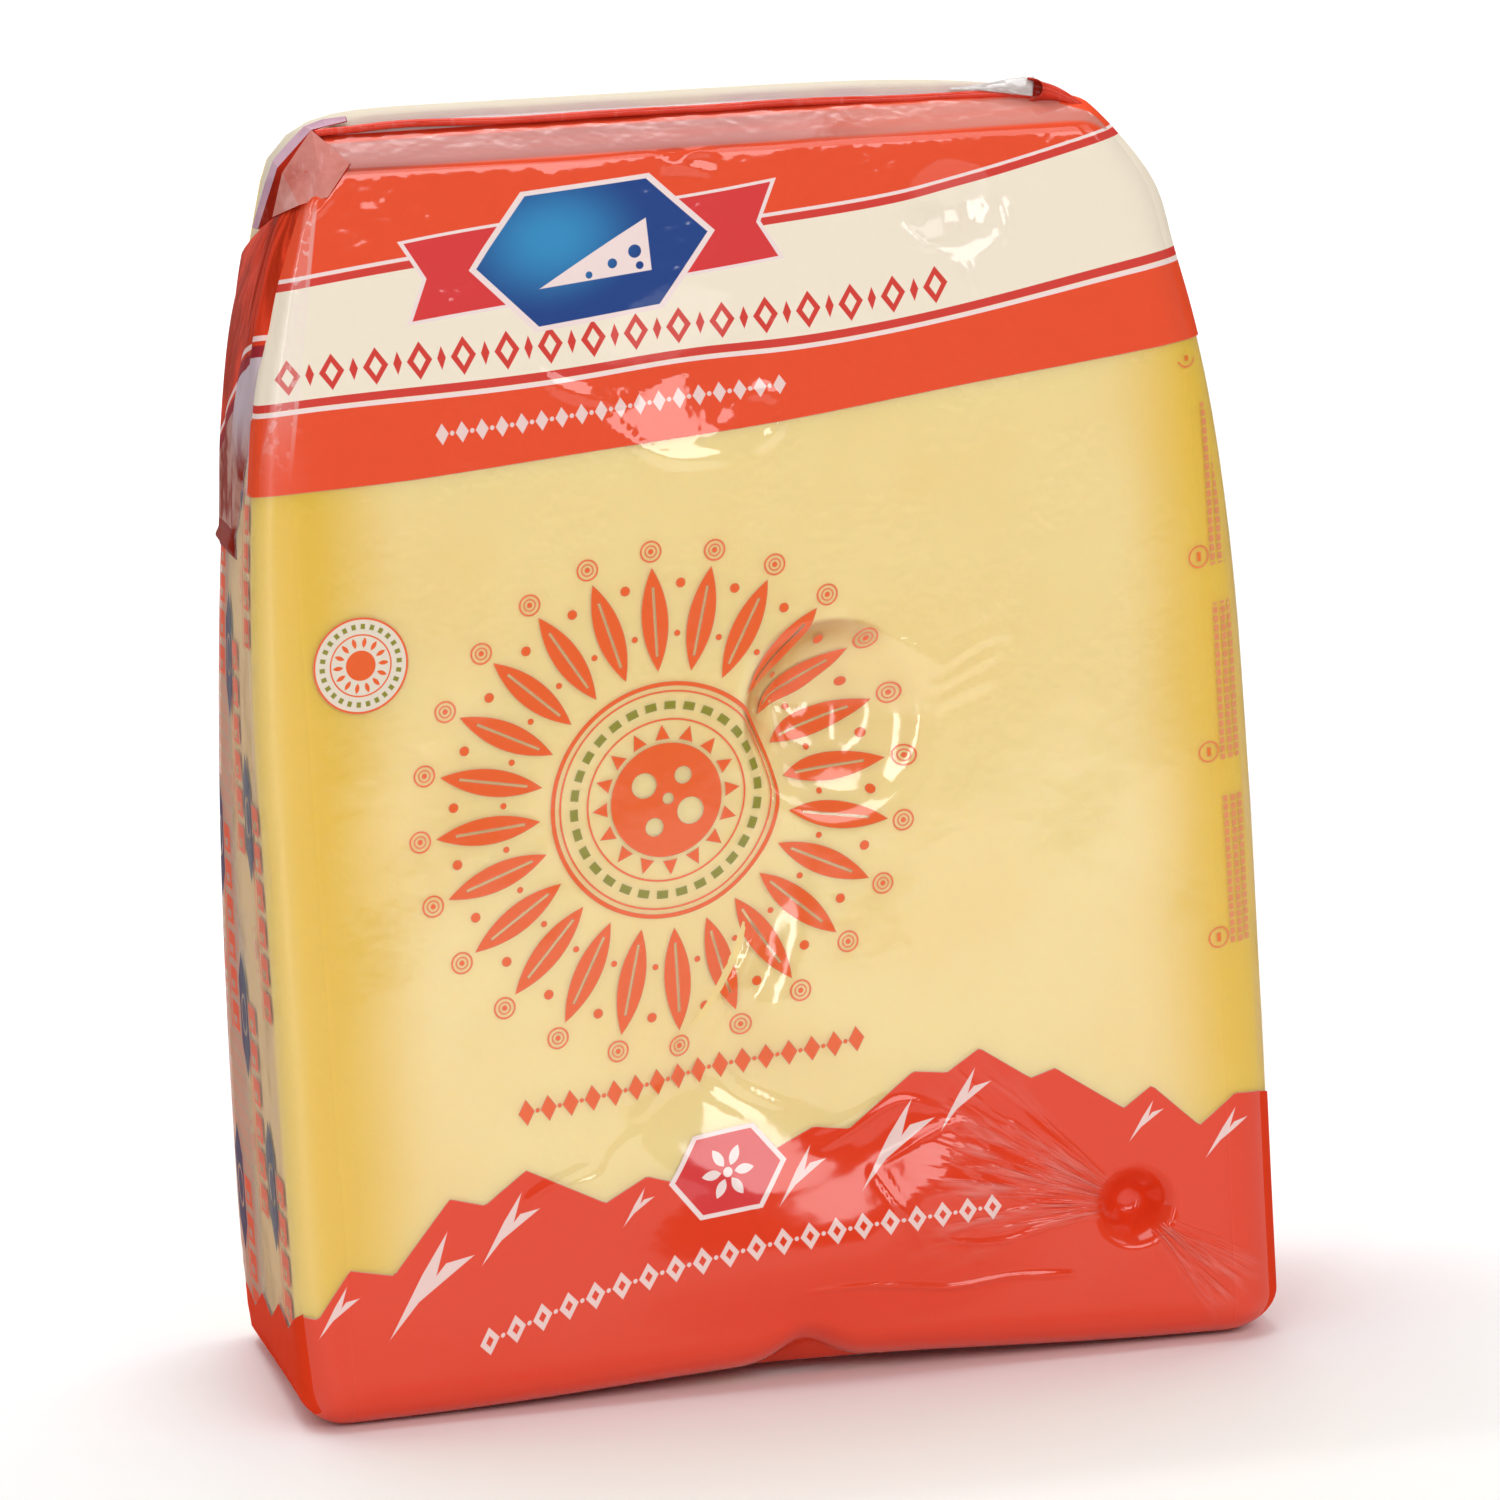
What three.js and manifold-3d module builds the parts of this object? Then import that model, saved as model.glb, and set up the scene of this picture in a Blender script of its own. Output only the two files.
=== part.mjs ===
// A portion of a big round wheel of hole cheese, sealed in shrink film: one shut pack.
// Millimetres, +Z up. The origin is at the middle of the flat base, and the cut face
// that carries the print and shows the eyes of the cheese looks along -Y.

import * as THREE from 'three';
import { mergeVertices } from 'three/addons/utils/BufferGeometryUtils.js';
import Module from 'manifold-3d';

// ---- Driving dimensions of the block ----
const HALF_WIDTH = 118;       // half of the wheel's thickness, at the base of the block
const SHOULDER_HEIGHT = 296.5;  // height of the rim's edge, where the film is seamed
const CROWN = 4.6;            // rise of the rim above that edge
const DEPTH = 118;            // between the two cut faces, at the base
const FRONT_LEAN = 6;         // how far the front leans in from the base to the shoulder
const BACK_LEAN = 28;         // the same for the back: together they make the wedge

// Each flat side of the wheel is straight up to `from`, then curves in by `inset` to the rim.
const PROFILE_TOP = 299.5;
const LEFT_FRONT = { half: 117, inset: 31, from: 150, power: 2 };
const LEFT_BACK = { half: 118.5, inset: 31.5, from: 60, power: 2 };
const RIGHT_SIDE = { half: 118.5, inset: 48, from: 60, power: 4 };

// Radii of the film-covered edges
const LEFT_EDGE = 6;
const RIGHT_EDGE = 15;
const BASE_EDGE = 9;
const RIM_EDGE = 4;

// The corner at the back left of the foot is worn rounder, upright and along the base.
const FOOT_CORNER = 20;
const FOOT_BASE = 17;
const FOOT_HEIGHT = 35;

// ---- Flats that the tight film pulls across edges and corners ----
// Each is a plane through a point with its normal pointing out of the block.
const FLATS = [
  { name: 'front of the rim', through: [0, -53, 288.5], normal: [0, -0.58, 0.82] },
  { name: 'back of the rim', through: [0, 32, 287.5], normal: [0, 0.58, 0.82] },
  { name: 'front left of the rim', through: [-94, -50, 286], normal: [-0.5, -0.62, 0.6] },
  { name: 'strip up the left edge', through: [-107, -53, 245], normal: [-0.72, -0.66, 0.2] },
];
const FLAT_CUTTER = 400;      // side of the box that cuts a flat

// ---- Relief of the front: eyes of the cheese that the film is sucked into ----
// x and z are the centre, across and up the radii, turn an angle in degrees, and rim is the
// share of the radius that stays flat at the bottom of the hollow.
const EYES = [
  { name: 'large eye', x: 20, z: 152, across: 26, up: 23, turn: 10, rim: 0.25, depth: 13 },
  { name: 'sunk area below it', x: -12, z: 71, across: 33, up: 24, turn: -20, rim: 0, depth: 6 },
  { name: 'small eye, low right', x: 81, z: 34, across: 11, up: 11, turn: 0, rim: 0.1, depth: 6 },
  { name: 'small eye, top right', x: 51, z: 267, across: 11, up: 10, turn: 0, rim: 0, depth: 3.5 },
  { name: 'shallow eye, top', x: -16, z: 238, across: 26, up: 20, turn: 30, rim: 0, depth: 3 },
];
const SWELLING = { x: 18, z: 44, across: 42, up: 18, turn: 5, rim: 0, depth: -2.2 };
const VALLEY = { x: -8, z: 100, across: 13, up: 42, turn: -22, rim: 0, depth: 4 };
const HOLLOWS = [...EYES, SWELLING, VALLEY];
const RELIEF_FADE = 24;       // how far behind the front the relief dies out

// The film is pulled up along the front of the base, and into an eye that the base cuts open.
const BASE_ARCH = { x: 3, across: 60, rise: 4.2 };
const BASE_EYE = { x: 2, across: 8, rise: 5 };
const BASE_REACH = 26;        // how far up the front the rise dies out
const BASE_FADE = 55;         // how far under the block it dies out

// ---- Flap of film folded down over the left side ----
const FLAP_LOWER_EDGE = 199;
const FLAP_THICKNESS = 1.2;
const FLAP_FRONT = -50;

// ---- Seam of the film along the front of the rim, and its rolled end ----
const SEAM_START = [-91, -40.5, 296.9];
const SEAM_MIDDLE = [-12, -40.5, 298.1];
const SEAM_END = [72, -40.5, 296.1];
const SEAM_RADIUS = 1.7;
const SEAM_SIDES = 8;
const SEAM_STEPS = 14;
const EAR_START = [70, -40, 295.4];
const EAR_END = [91, -43, 289.4];
const EAR_RADII = [3.8, 1.8];

// ---- Divisions: fine on the front, coarse on the sides and the back ----
const FRONT_COLUMNS = 40;
const FRONT_ROWS = 48;
const BACK_COLUMNS = 14;
const BACK_ROWS = 18;
const EDGE_CROWDING = 0.45;   // 0 spaces the lines evenly, 1 crowds them at the edges
const FINE_LEVELS = [-1, -0.96, -0.9, -0.8];
const COARSE_LEVELS = [-0.62, -0.4, -0.13, 0.13, 0.4, 0.62, 0.78, 0.9, 1];

const mix = (a, b, t) => a + (b - a) * t;
const clamp = THREE.MathUtils.clamp;
const smooth = THREE.MathUtils.smoothstep;

// Half width of a side of the wheel at height z.
function sideAt({ half, inset, from, power }, z) {
  const t = clamp((z - from) / (PROFILE_TOP - from), 0, 1);
  return half - inset * (1 - Math.sqrt(1 - t ** power));
}

// The two cut faces at height z.
const frontAt = (z) => FRONT_LEAN * z / SHOULDER_HEIGHT - DEPTH / 2;
const backAt = (z) => DEPTH / 2 - BACK_LEAN * z / SHOULDER_HEIGHT;

// A box with round edges: the corner of size `radii` becomes part of an ellipsoid.
function roundBox(point, halves, centre, radii) {
  const inner = point.map((p, k) => {
    const reach = halves[k] - radii[k];
    return centre[k] + clamp(p - centre[k], -reach, reach);
  });
  const out = point.map((p, k) => (p - inner[k]) / radii[k]);
  const length = Math.hypot(...out);
  return inner.map((q, k) => q + radii[k] * out[k] / length);
}

// Depth, 0 to 1, of a hollow with an oval outline at a place on the front.
function hollowAt(hollow, x, z) {
  const turn = THREE.MathUtils.degToRad(hollow.turn);
  const dx = x - hollow.x;
  const dz = z - hollow.z;
  const u = (dx * Math.cos(turn) + dz * Math.sin(turn)) / hollow.across;
  const v = (dz * Math.cos(turn) - dx * Math.sin(turn)) / hollow.up;
  return 1 - smooth(Math.hypot(u, v), hollow.rim, 1);
}

// Thickness of the folded flap on the left side.
const flapAt = (x, y, z) => FLAP_THICKNESS
  * (1 - smooth(x, -HALF_WIDTH, 3 - HALF_WIDTH))
  * smooth(y, FLAP_FRONT - 2, FLAP_FRONT + 2)
  * smooth(z, FLAP_LOWER_EDGE - 2, FLAP_LOWER_EDGE + 2);

// Lift of the base's front edge at x.
const riseAt = ({ x: centre, across, rise }, x) => rise * Math.exp(-(((x - centre) / across) ** 2));

// From the box [-1, 1] x [-1, 1] x [0, 1] to the surface of the pack.
function packPoint([X, Y, Z]) {
  const foot = smooth(Y, -1, 1) * (1 - smooth(Z * SHOULDER_HEIGHT, 0, FOOT_HEIGHT));
  const leftEdge = mix(LEFT_EDGE, FOOT_CORNER, foot);
  const baseEdge = mix(mix(BASE_EDGE, FOOT_BASE, foot), BASE_EDGE, smooth(X, -1, 1));
  const edge = mix(leftEdge, RIGHT_EDGE, smooth(X, -1, 1));
  const rise = Z < 0.5 ? baseEdge : RIM_EDGE;
  let [x, y, z] = roundBox(
    [X * HALF_WIDTH, Y * DEPTH / 2, Z * SHOULDER_HEIGHT],
    [HALF_WIDTH, DEPTH / 2, SHOULDER_HEIGHT / 2],
    [0, 0, SHOULDER_HEIGHT / 2],
    [edge, edge, rise],
  );

  // the wheel's curved sides, the wedge's taper and the round of the rim
  const back = y / DEPTH + 0.5;
  const left = mix(sideAt(LEFT_FRONT, z), sideAt(LEFT_BACK, z), back) + flapAt(x, y, z);
  const acrossRim = (2 * back - 1) ** 2;
  const alongRim = Math.abs(x / HALF_WIDTH) ** (x < 0 ? 16 : 4);
  x *= (x < 0 ? left : sideAt(RIGHT_SIDE, z)) / HALF_WIDTH;
  y = mix(frontAt(z), backAt(z), back);
  z += CROWN * (1 - acrossRim) * (1 - alongRim) * smooth(Z, 0.9, 1);

  // the hollows of the front, and the rise of the film under it
  const near = 1 - smooth(y - frontAt(z), 0, RELIEF_FADE);
  const low = (1 - smooth(y - frontAt(z), 0, BASE_FADE)) * (1 - smooth(z, 0, BASE_REACH));
  const hollow = HOLLOWS.reduce((sum, item) => sum + item.depth * hollowAt(item, x, z), 0);
  const lift = riseAt(BASE_ARCH, x) + riseAt(BASE_EYE, x);
  return new THREE.Vector3(x, y + near * hollow, z + low * lift);
}

// A line from -1 to 1 in `count` parts, closer together towards its ends.
function crowdedLine(count) {
  return Array.from({ length: count + 1 }, (_, k) => {
    const even = 2 * k / count - 1;
    return mix(even, Math.sin(even * Math.PI / 2), EDGE_CROWDING);
  });
}

// The block's surface as triangles of box points, turned to face out.
function packTriangles() {
  const triangles = [];
  const frontX = crowdedLine(FRONT_COLUMNS);
  const frontZ = crowdedLine(FRONT_ROWS).map((t) => (t + 1) / 2);
  const backX = crowdedLine(BACK_COLUMNS);
  const backZ = crowdedLine(BACK_ROWS).map((t) => (t + 1) / 2);

  // one cut face, a grid of quads
  const face = (xs, zs, Y, flip) => {
    for (let i = 0; i + 1 < xs.length; i += 1) {
      for (let j = 0; j + 1 < zs.length; j += 1) {
        const a = [xs[i], Y, zs[j]];
        const b = [xs[i + 1], Y, zs[j]];
        const c = [xs[i + 1], Y, zs[j + 1]];
        const d = [xs[i], Y, zs[j + 1]];
        triangles.push(...(flip ? [[a, c, b], [a, d, c]] : [[a, b, c], [a, c, d]]));
      }
    }
  };

  // the four edges of the block at one depth: along the base, up, back along the rim, down
  const loop = (xs, zs, Y) => [
    xs.map((X) => [X, Y, 0]),
    zs.map((Z) => [1, Y, Z]),
    xs.map((X) => [X, Y, 1]).reverse(),
    zs.map((Z) => [-1, Y, Z]).reverse(),
  ];

  // a strip between two loops, which may have different numbers of points
  const band = (near, far) => near.forEach((a, side) => {
    const b = far[side];
    let i = 0;
    let j = 0;
    while (i + 1 < a.length || j + 1 < b.length) {
      const nextA = (i + 1) / (a.length - 1);
      const nextB = (j + 1) / (b.length - 1);
      if (nextA <= nextB) {
        triangles.push([a[i], b[j], a[i + 1]]);
        i += 1;
      } else {
        triangles.push([a[i], b[j], b[j + 1]]);
        j += 1;
      }
    }
  });

  const loops = [
    ...FINE_LEVELS.map((Y) => loop(frontX, frontZ, Y)),
    ...COARSE_LEVELS.map((Y) => loop(backX, backZ, Y)),
  ];
  loops.slice(1).forEach((far, k) => band(loops[k], far));
  face(frontX, frontZ, -1, false);
  face(backX, backZ, 1, true);
  return triangles;
}

// Triangles of points as a geometry whose corners are shared.
function closedGeometry(triangles) {
  const geometry = new THREE.BufferGeometry();
  const corners = triangles.flat().flatMap((point) => packPoint(point).toArray());
  geometry.setAttribute('position', new THREE.Float32BufferAttribute(corners, 3));
  return mergeVertices(geometry, 1e-3);
}

// The film's seam: a thin roll along the rim.
function seamGeometry() {
  const path = new THREE.CatmullRomCurve3(
    [SEAM_START, SEAM_MIDDLE, SEAM_END].map((point) => new THREE.Vector3(...point)),
  );
  const section = new THREE.Shape();
  section.absarc(0, 0, SEAM_RADIUS, 0, 2 * Math.PI, false);
  return new THREE.ExtrudeGeometry(section, {
    curveSegments: SEAM_SIDES / 2,
    steps: SEAM_STEPS,
    extrudePath: path,
  });
}

// The seam's end, rolled into a small ear that runs down the right shoulder.
function earGeometry() {
  const start = new THREE.Vector3(...EAR_START);
  const along = new THREE.Vector3(...EAR_END).sub(start);
  const [wide, narrow] = EAR_RADII;
  const geometry = new THREE.CylinderGeometry(narrow, wide, along.length(), SEAM_SIDES);
  const turn = new THREE.Quaternion().setFromUnitVectors(
    new THREE.Vector3(0, 1, 0),
    along.clone().normalize(),
  );
  geometry.applyQuaternion(turn);
  const middle = start.addScaledVector(along, 0.5);
  return geometry.translate(middle.x, middle.y, middle.z);
}

// ---- Joining the pieces of the pack into one solid ----
const wasm = await Module();
wasm.setup();

function toSolid(geometry) {
  geometry.deleteAttribute('normal');
  geometry.deleteAttribute('uv');
  const merged = mergeVertices(geometry, 1e-3);
  return new wasm.Manifold(new wasm.Mesh({
    numProp: 3,
    vertProperties: new Float32Array(merged.attributes.position.array),
    triVerts: new Uint32Array(merged.index.array),
  }));
}

function toGeometry(solid) {
  const { vertProperties, triVerts } = solid.getMesh();
  const geometry = new THREE.BufferGeometry();
  geometry.setAttribute('position', new THREE.BufferAttribute(vertProperties, 3));
  geometry.setIndex(new THREE.BufferAttribute(triVerts, 1));
  geometry.computeVertexNormals();
  return geometry;
}

// A big box whose bottom lies on the plane of a flat.
function flatCutter({ through, normal }) {
  const out = new THREE.Vector3(...normal).normalize();
  const box = new THREE.BoxGeometry(FLAT_CUTTER, FLAT_CUTTER, FLAT_CUTTER);
  box.translate(0, 0, FLAT_CUTTER / 2);
  box.applyQuaternion(new THREE.Quaternion().setFromUnitVectors(new THREE.Vector3(0, 0, 1), out));
  return toSolid(box.translate(...through));
}

const block = FLATS.reduce(
  (solid, flat) => solid.subtract(flatCutter(flat)),
  toSolid(closedGeometry(packTriangles())),
);
const pack = block
  .add(toSolid(seamGeometry()))
  .add(toSolid(earGeometry()));

// The outline of the base is centred on the origin.
const geometry = toGeometry(pack);
geometry.computeBoundingBox();
const centre = geometry.boundingBox.getCenter(new THREE.Vector3());
geometry.translate(-centre.x, -centre.y, 0);

const wedge = new THREE.Mesh(
  geometry,
  new THREE.MeshStandardMaterial({ color: 0xf2d898, roughness: 0.25, metalness: 0 }),
);
wedge.name = 'cheese_wedge';

const group = new THREE.Group();
group.add(wedge);
export default group;
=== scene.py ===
"""A wedge of hole cheese in tight printed film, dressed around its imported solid."""

import math

import bpy
import numpy as np
from bpy.props import FloatProperty, FloatVectorProperty, IntProperty, PointerProperty
from mathutils import Matrix, Vector


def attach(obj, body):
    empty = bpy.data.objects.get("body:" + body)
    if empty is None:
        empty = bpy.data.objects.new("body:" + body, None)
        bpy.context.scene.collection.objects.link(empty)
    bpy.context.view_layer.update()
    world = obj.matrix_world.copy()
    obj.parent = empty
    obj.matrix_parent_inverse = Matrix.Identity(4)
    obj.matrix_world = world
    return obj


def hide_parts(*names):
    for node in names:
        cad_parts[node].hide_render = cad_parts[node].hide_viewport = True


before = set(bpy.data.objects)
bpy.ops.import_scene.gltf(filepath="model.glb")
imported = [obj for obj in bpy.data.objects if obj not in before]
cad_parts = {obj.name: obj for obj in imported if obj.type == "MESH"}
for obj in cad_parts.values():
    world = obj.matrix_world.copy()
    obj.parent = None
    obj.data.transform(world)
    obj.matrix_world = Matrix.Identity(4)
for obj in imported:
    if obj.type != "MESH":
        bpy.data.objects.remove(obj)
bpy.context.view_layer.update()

bl_info = {
    "name": "Cheese Wedge in Film",
    "version": (1, 0, 0),
    "blender": (4, 5, 0),
    "location": "View3D > Sidebar > Cheese",
    "description": "Builds a film-wrapped wedge of hole cheese around its solid model",
    "category": "Object",
}

NODE = "cheese_wedge"
BODY = "root"
MM = 0.001

# ---- The block's form in millimetres; the solid has the same but for the foot's left corners ----
HALF_WIDTH = 118.0
SHOULDER_HEIGHT = 296.5
CROWN = 4.6
DEPTH = 118.0
FRONT_LEAN = 6.0
BACK_LEAN = 28.0
PROFILE_TOP = 299.5
LEFT_FRONT = dict(half=117.0, inset=31.0, start=150.0, power=2)
LEFT_BACK = dict(half=118.5, inset=31.5, start=60.0, power=2)
RIGHT_SIDE = dict(half=118.5, inset=48.0, start=60.0, power=4)
LEFT_EDGE = 6.0
RIGHT_EDGE = 15.0
BASE_EDGE = 10.5
RIM_EDGE = 4.0
FOOT_CORNERS = (12.0, 17.0)  # radii of the left side's upright edges at the foot: front, back
FOOT_BASES = (11.0, 6.0)     # and of its base edge
# Fullness of the sides below the rim
LEFT_SHOULDER = dict(z=298.0, up=14.0, out=2.2)
RIGHT_SHOULDER = dict(z=273.0, up=11.0, out=2.1)
FOOT_HEIGHT = 35.0
MIDDLE = (0.04, -1.1)        # of the block's outline, which the frame has at its origin

# Flats that the film pulls across edges: a point, the normal, and how softly each one sets in
FLATS = (
    ((0, -53, 287.5), (-0.006, -0.58, 0.82), 0.6),
    ((0, 32, 287.5), (0, 0.58, 0.82), 2.0),
    ((-94, -50, 286), (-0.5, -0.62, 0.6), 0.4),
    ((-98.5, -44, 286), (-0.8, -0.45, 0.4), 0.3),
    ((-107, -53, 245), (-0.72, -0.66, 0.2), 0.4),
)

# ---- Relief of the front: centre, radii, turn, flat share and depth ----
EYES = (
    dict(x=-12, z=71, across=33, up=24, turn=-20, rim=0, depth=6),
    dict(x=81.5, z=35, across=10.5, up=10.5, turn=0, rim=0.15, depth=8),
    dict(x=51, z=270, across=13, up=12, turn=0, rim=0, depth=3.4),
    dict(x=-16, z=238, across=26, up=20, turn=30, rim=0, depth=3),
)
# The large eye: its lowest place is near its left lip, and from there the film climbs in waves
BOWL = dict(
    x=17.5, z=154.5, across=22.0, up=23.5, turn=15, depth=13.0, lowest=(4, 159), lip=0.03, waves=2.7,
    wave_height=0.4, drag=4.4,
)
SWELLINGS = (
    dict(x=12, z=32, across=55, up=24, turn=4, rim=0, depth=-4.6),
    dict(x=34, z=46, across=22, up=18, turn=20, rim=0, depth=-2.8),
)
VALLEY = dict(x=-8, z=100, across=13, up=42, turn=-22, rim=0, depth=4)
HOLLOWS = EYES + SWELLINGS + (VALLEY,)
RELIEF_FADE = 24.0
# The front of the base is pulled up, and over an eye that the base cuts open
BASE_ARCHES = (dict(x=3, across=60, rise=4.2), dict(x=2, across=8, rise=5))
BASE_REACH = 26.0
BASE_FADE = 55.0

# ---- Folds and creases of the film on the front: the curve's points, half width, height ----
FOLDS = (
    # from the swelling into the small eye
    (((18, 50), (40, 59), (49, 50), (59, 42), (69, 39)), 0.7, 0.6),
    (((35, 53), (53, 40), (68, 36)), 0.6, 0.6),
    (((22, 50), (32, 34), (48, 30), (67, 34)), 0.6, 0.5),
    (((52, 58), (64, 46), (72, 42)), 0.7, 0.7),
    (((18, 51), (26, 38), (31, 27)), 0.9, 0.75),
    (((39, 33), (43, 25)), 0.7, 0.5),
    # along the foot of the swelling, and below it
    (((0, 22.5), (14, 23), (26, 21.5), (36, 20), (50, 21), (66, 20)), 0.8, 0.8),
    (((-8, 52), (-9, 36), (-9, 20)), 0.6, 0.5),
    (((6, 55), (14, 59), (26, 65), (36, 62)), 0.9, 0.6),
    (((4, 59), (14, 62), (24, 67)), 0.8, 0.4),
    # left of the shield
    (((-55, 52), (-45, 54), (-40, 60), (-35, 64)), 0.9, 0.5),
    (((-64, 47), (-59, 52), (-47, 57)), 0.9, 0.4),
    (((-15, 79), (-10, 71), (0, 65)), 1.0, 0.7),
    (((-22, 78), (-17, 70), (-6, 62)), 1.0, 0.5),
    # down the valley
    (((1, 138), (-1, 124), (-4, 108), (-11, 94), (-20, 81), (-35, 66)), 1.3, 0.9),
    (((-6, 113), (-9, 103), (-15, 93), (-24, 82)), 1.1, -1.1),
    (((-2, 104), (-6, 96), (-12, 88)), 0.9, 0.7),
    # round the large eye
    (((-3, 170), (9, 175.5), (21, 175.5), (33, 171), (43, 165)), 1.5, 0.8),
    (((42, 165), (53, 171), (60, 172)), 0.9, 0.35),
    (((39, 160), (50, 165), (57, 168)), 0.9, 0.35),
    (((40, 156), (49, 160), (56, 162)), 0.9, 0.3),
    # at the head of the strip on the left edge
    (((-88.5, 284.5), (-93.4, 279), (-97.5, 275.5), (-99.8, 268)), 0.6, 0.5),
    # pinched above the badge
    (((-19, 288), (-13, 284), (-8, 287), (-3, 286)), 1.0, 0.9),
    (((-16, 283), (-9, 283), (-4, 281)), 0.8, 0.7),
    # round the shallow eyes near the top
    (((-48, 240), (-42, 235), (-33, 232), (-24, 232)), 1.1, 0.7),
    (((-31, 227), (-25, 221), (-16, 217), (-5, 217)), 1.1, 0.9),
    (((-1, 231), (4, 231.5), (8, 229)), 0.9, 0.6),
    (((8, 227), (7, 222), (2, 219)), 0.9, 0.6),
    (((39, 267), (45, 262), (53, 261)), 1.0, 0.8),
    (((52, 259), (54, 255), (56, 250)), 1.0, 0.6),
    (((63, 271), (64, 266), (62, 261)), 0.9, 0.6),
)


def mix(a, b, share):
    return a + (b - a) * share


def smooth(value, low, high):
    t = np.clip((value - low) / (high - low), 0.0, 1.0)
    return t * t * (3 - 2 * t)


def side_at(side, z):
    """Half width of a side of the wheel at height z."""
    t = np.clip((z - side["start"]) / (PROFILE_TOP - side["start"]), 0.0, 1.0)
    return side["half"] - side["inset"] * (1 - np.sqrt(1 - t ** side["power"]))


def shoulder_at(shoulder, z):
    return shoulder["out"] * np.exp(-((z - shoulder["z"]) / shoulder["up"]) ** 2)


def front_at(z):
    return FRONT_LEAN * z / SHOULDER_HEIGHT - DEPTH / 2


def back_at(z):
    return DEPTH / 2 - BACK_LEAN * z / SHOULDER_HEIGHT


def round_box(point, halves, centre, radii):
    """A box with round edges; a corner is part of an ellipsoid."""
    reach = halves - radii
    inner = centre + np.clip(point - centre, -reach, reach)
    out = (point - inner) / radii
    length = np.maximum(np.linalg.norm(out, axis=1, keepdims=True), 1e-9)
    return inner + radii * out / length


def oval_place(oval, x, z):
    """Places in the units of a turned oval, whose rim is at distance 1."""
    turn = math.radians(oval["turn"])
    dx, dz = x - oval["x"], z - oval["z"]
    u = (dx * math.cos(turn) + dz * math.sin(turn)) / oval["across"]
    v = (dz * math.cos(turn) - dx * math.sin(turn)) / oval["up"]
    return u, v


def hollow_at(hollow, x, z):
    """Depth, 0 to 1, of an oval hollow at a place on the front."""
    return 1 - smooth(np.hypot(*oval_place(hollow, x, z)), hollow["rim"], 1.0)


def bowl_at(bowl, x, z):
    """Depth, 0 to 1, of the large eye."""
    low_x, low_z = bowl["lowest"]
    u, v = oval_place(bowl, x, z)
    low_u, low_v = oval_place(bowl, low_x, low_z)
    du, dv = u - low_u, v - low_v
    span = du ** 2 + dv ** 2
    inward = low_u * du + low_v * dv
    # share of the way from the lowest place to the rim
    share = span / np.maximum(np.sqrt(inward ** 2 + span * (1 - low_u ** 2 - low_v ** 2)) - inward, 1e-9)
    left = 1 - np.sqrt(share ** 2 + 0.008)
    soft = bowl["lip"] * np.logaddexp(0, left / bowl["lip"])
    towards = np.clip(np.cos(np.arctan2(z - low_z, x - low_x) + 0.35), 0, 1) * smooth(left, 0, 0.1)
    wave = 2 * math.pi * bowl["waves"]
    ripples = np.sin(wave * (share - 0.12)) * towards * smooth(share, 0, 0.08)
    return soft - bowl["wave_height"] / wave * ripples


def soft_curve(points, steps=6):
    """Points of a smooth curve through the given ones."""
    points = np.array(points, float)
    ends = np.concatenate([2 * points[:1] - points[1:2], points, 2 * points[-1:] - points[-2:-1]])
    made = []
    for a, b, c, d in zip(ends, ends[1:], ends[2:], ends[3:]):
        t = np.arange(steps)[:, None] / steps
        square, cube = 2 * a - 5 * b + 4 * c - d, 3 * b - a - 3 * c + d
        made.append(0.5 * (2 * b + (c - a) * t + square * t ** 2 + cube * t ** 3))
    return np.concatenate(made + [points[-1:]])


def fold_at(x, z, points, width, height):
    """Height of a fold along a curve; it dies out at both ends."""
    line = soft_curve(points)
    low, high = line.min(0) - 4 * width, line.max(0) + 4 * width
    near = (x > low[0]) & (x < high[0]) & (z > low[1]) & (z < high[1])
    place = np.stack([x[near], z[near]], 1)
    closest = np.full(len(place), 1e9)
    share = np.zeros(len(place))
    for k, (a, b) in enumerate(zip(line, line[1:])):
        along = b - a
        t = np.clip((place - a) @ along / (along @ along), 0, 1)
        distance = np.linalg.norm(place - a - t[:, None] * along, axis=1)
        nearer = distance < closest
        closest = np.where(nearer, distance, closest)
        share = np.where(nearer, (k + t) / (len(line) - 1), share)
    rise = np.zeros_like(x)
    rise[near] = height * np.exp(-(closest / width) ** 2) * np.sin(math.pi * share) ** 0.6
    return rise


PUCKERS = (
    # centre, direction that they spread to, half angle, near and far radius, creases, height
    dict(x=81, z=35, towards=158, half=34, near=10, far=52, creases=46, height=0.55),
    dict(x=81, z=35, towards=-44, half=26, near=6, far=34, creases=52, height=0.4),
    dict(x=20, z=150, towards=22, half=34, near=24, far=44, creases=34, height=0.22),
)


def pucker_at(x, z, pucker):
    """Sharp creases that spread from the rim of an eye."""
    dx, dz = x - pucker["x"], z - pucker["z"]
    near, far = pucker["near"], pucker["far"]
    half = math.radians(pucker["half"])
    cos, sin = math.cos(math.radians(pucker["towards"])), math.sin(math.radians(pucker["towards"]))
    radius = np.hypot(dx, dz)
    angle = np.arctan2(dz * cos - dx * sin, dx * cos + dz * sin)
    waves = np.sin(angle * pucker["creases"] + 0.8 * np.sin(radius / 7) + 2.1 * np.sin(angle * 9))
    waves = (0.5 + 0.5 * waves) ** 3 * (0.65 + 0.35 * np.sin(angle * 17 + radius / 11))
    sector = 1 - smooth(np.abs(angle), 0.55 * half, half)
    reach = mix(near, far, 0.75 + 0.25 * np.sin(angle * 13 + 1))
    ring = smooth(radius, near - 3, near + 3) * (1 - smooth(radius, mix(near, reach, 0.3), reach))
    return pucker["height"] * waves * sector * ring


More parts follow.
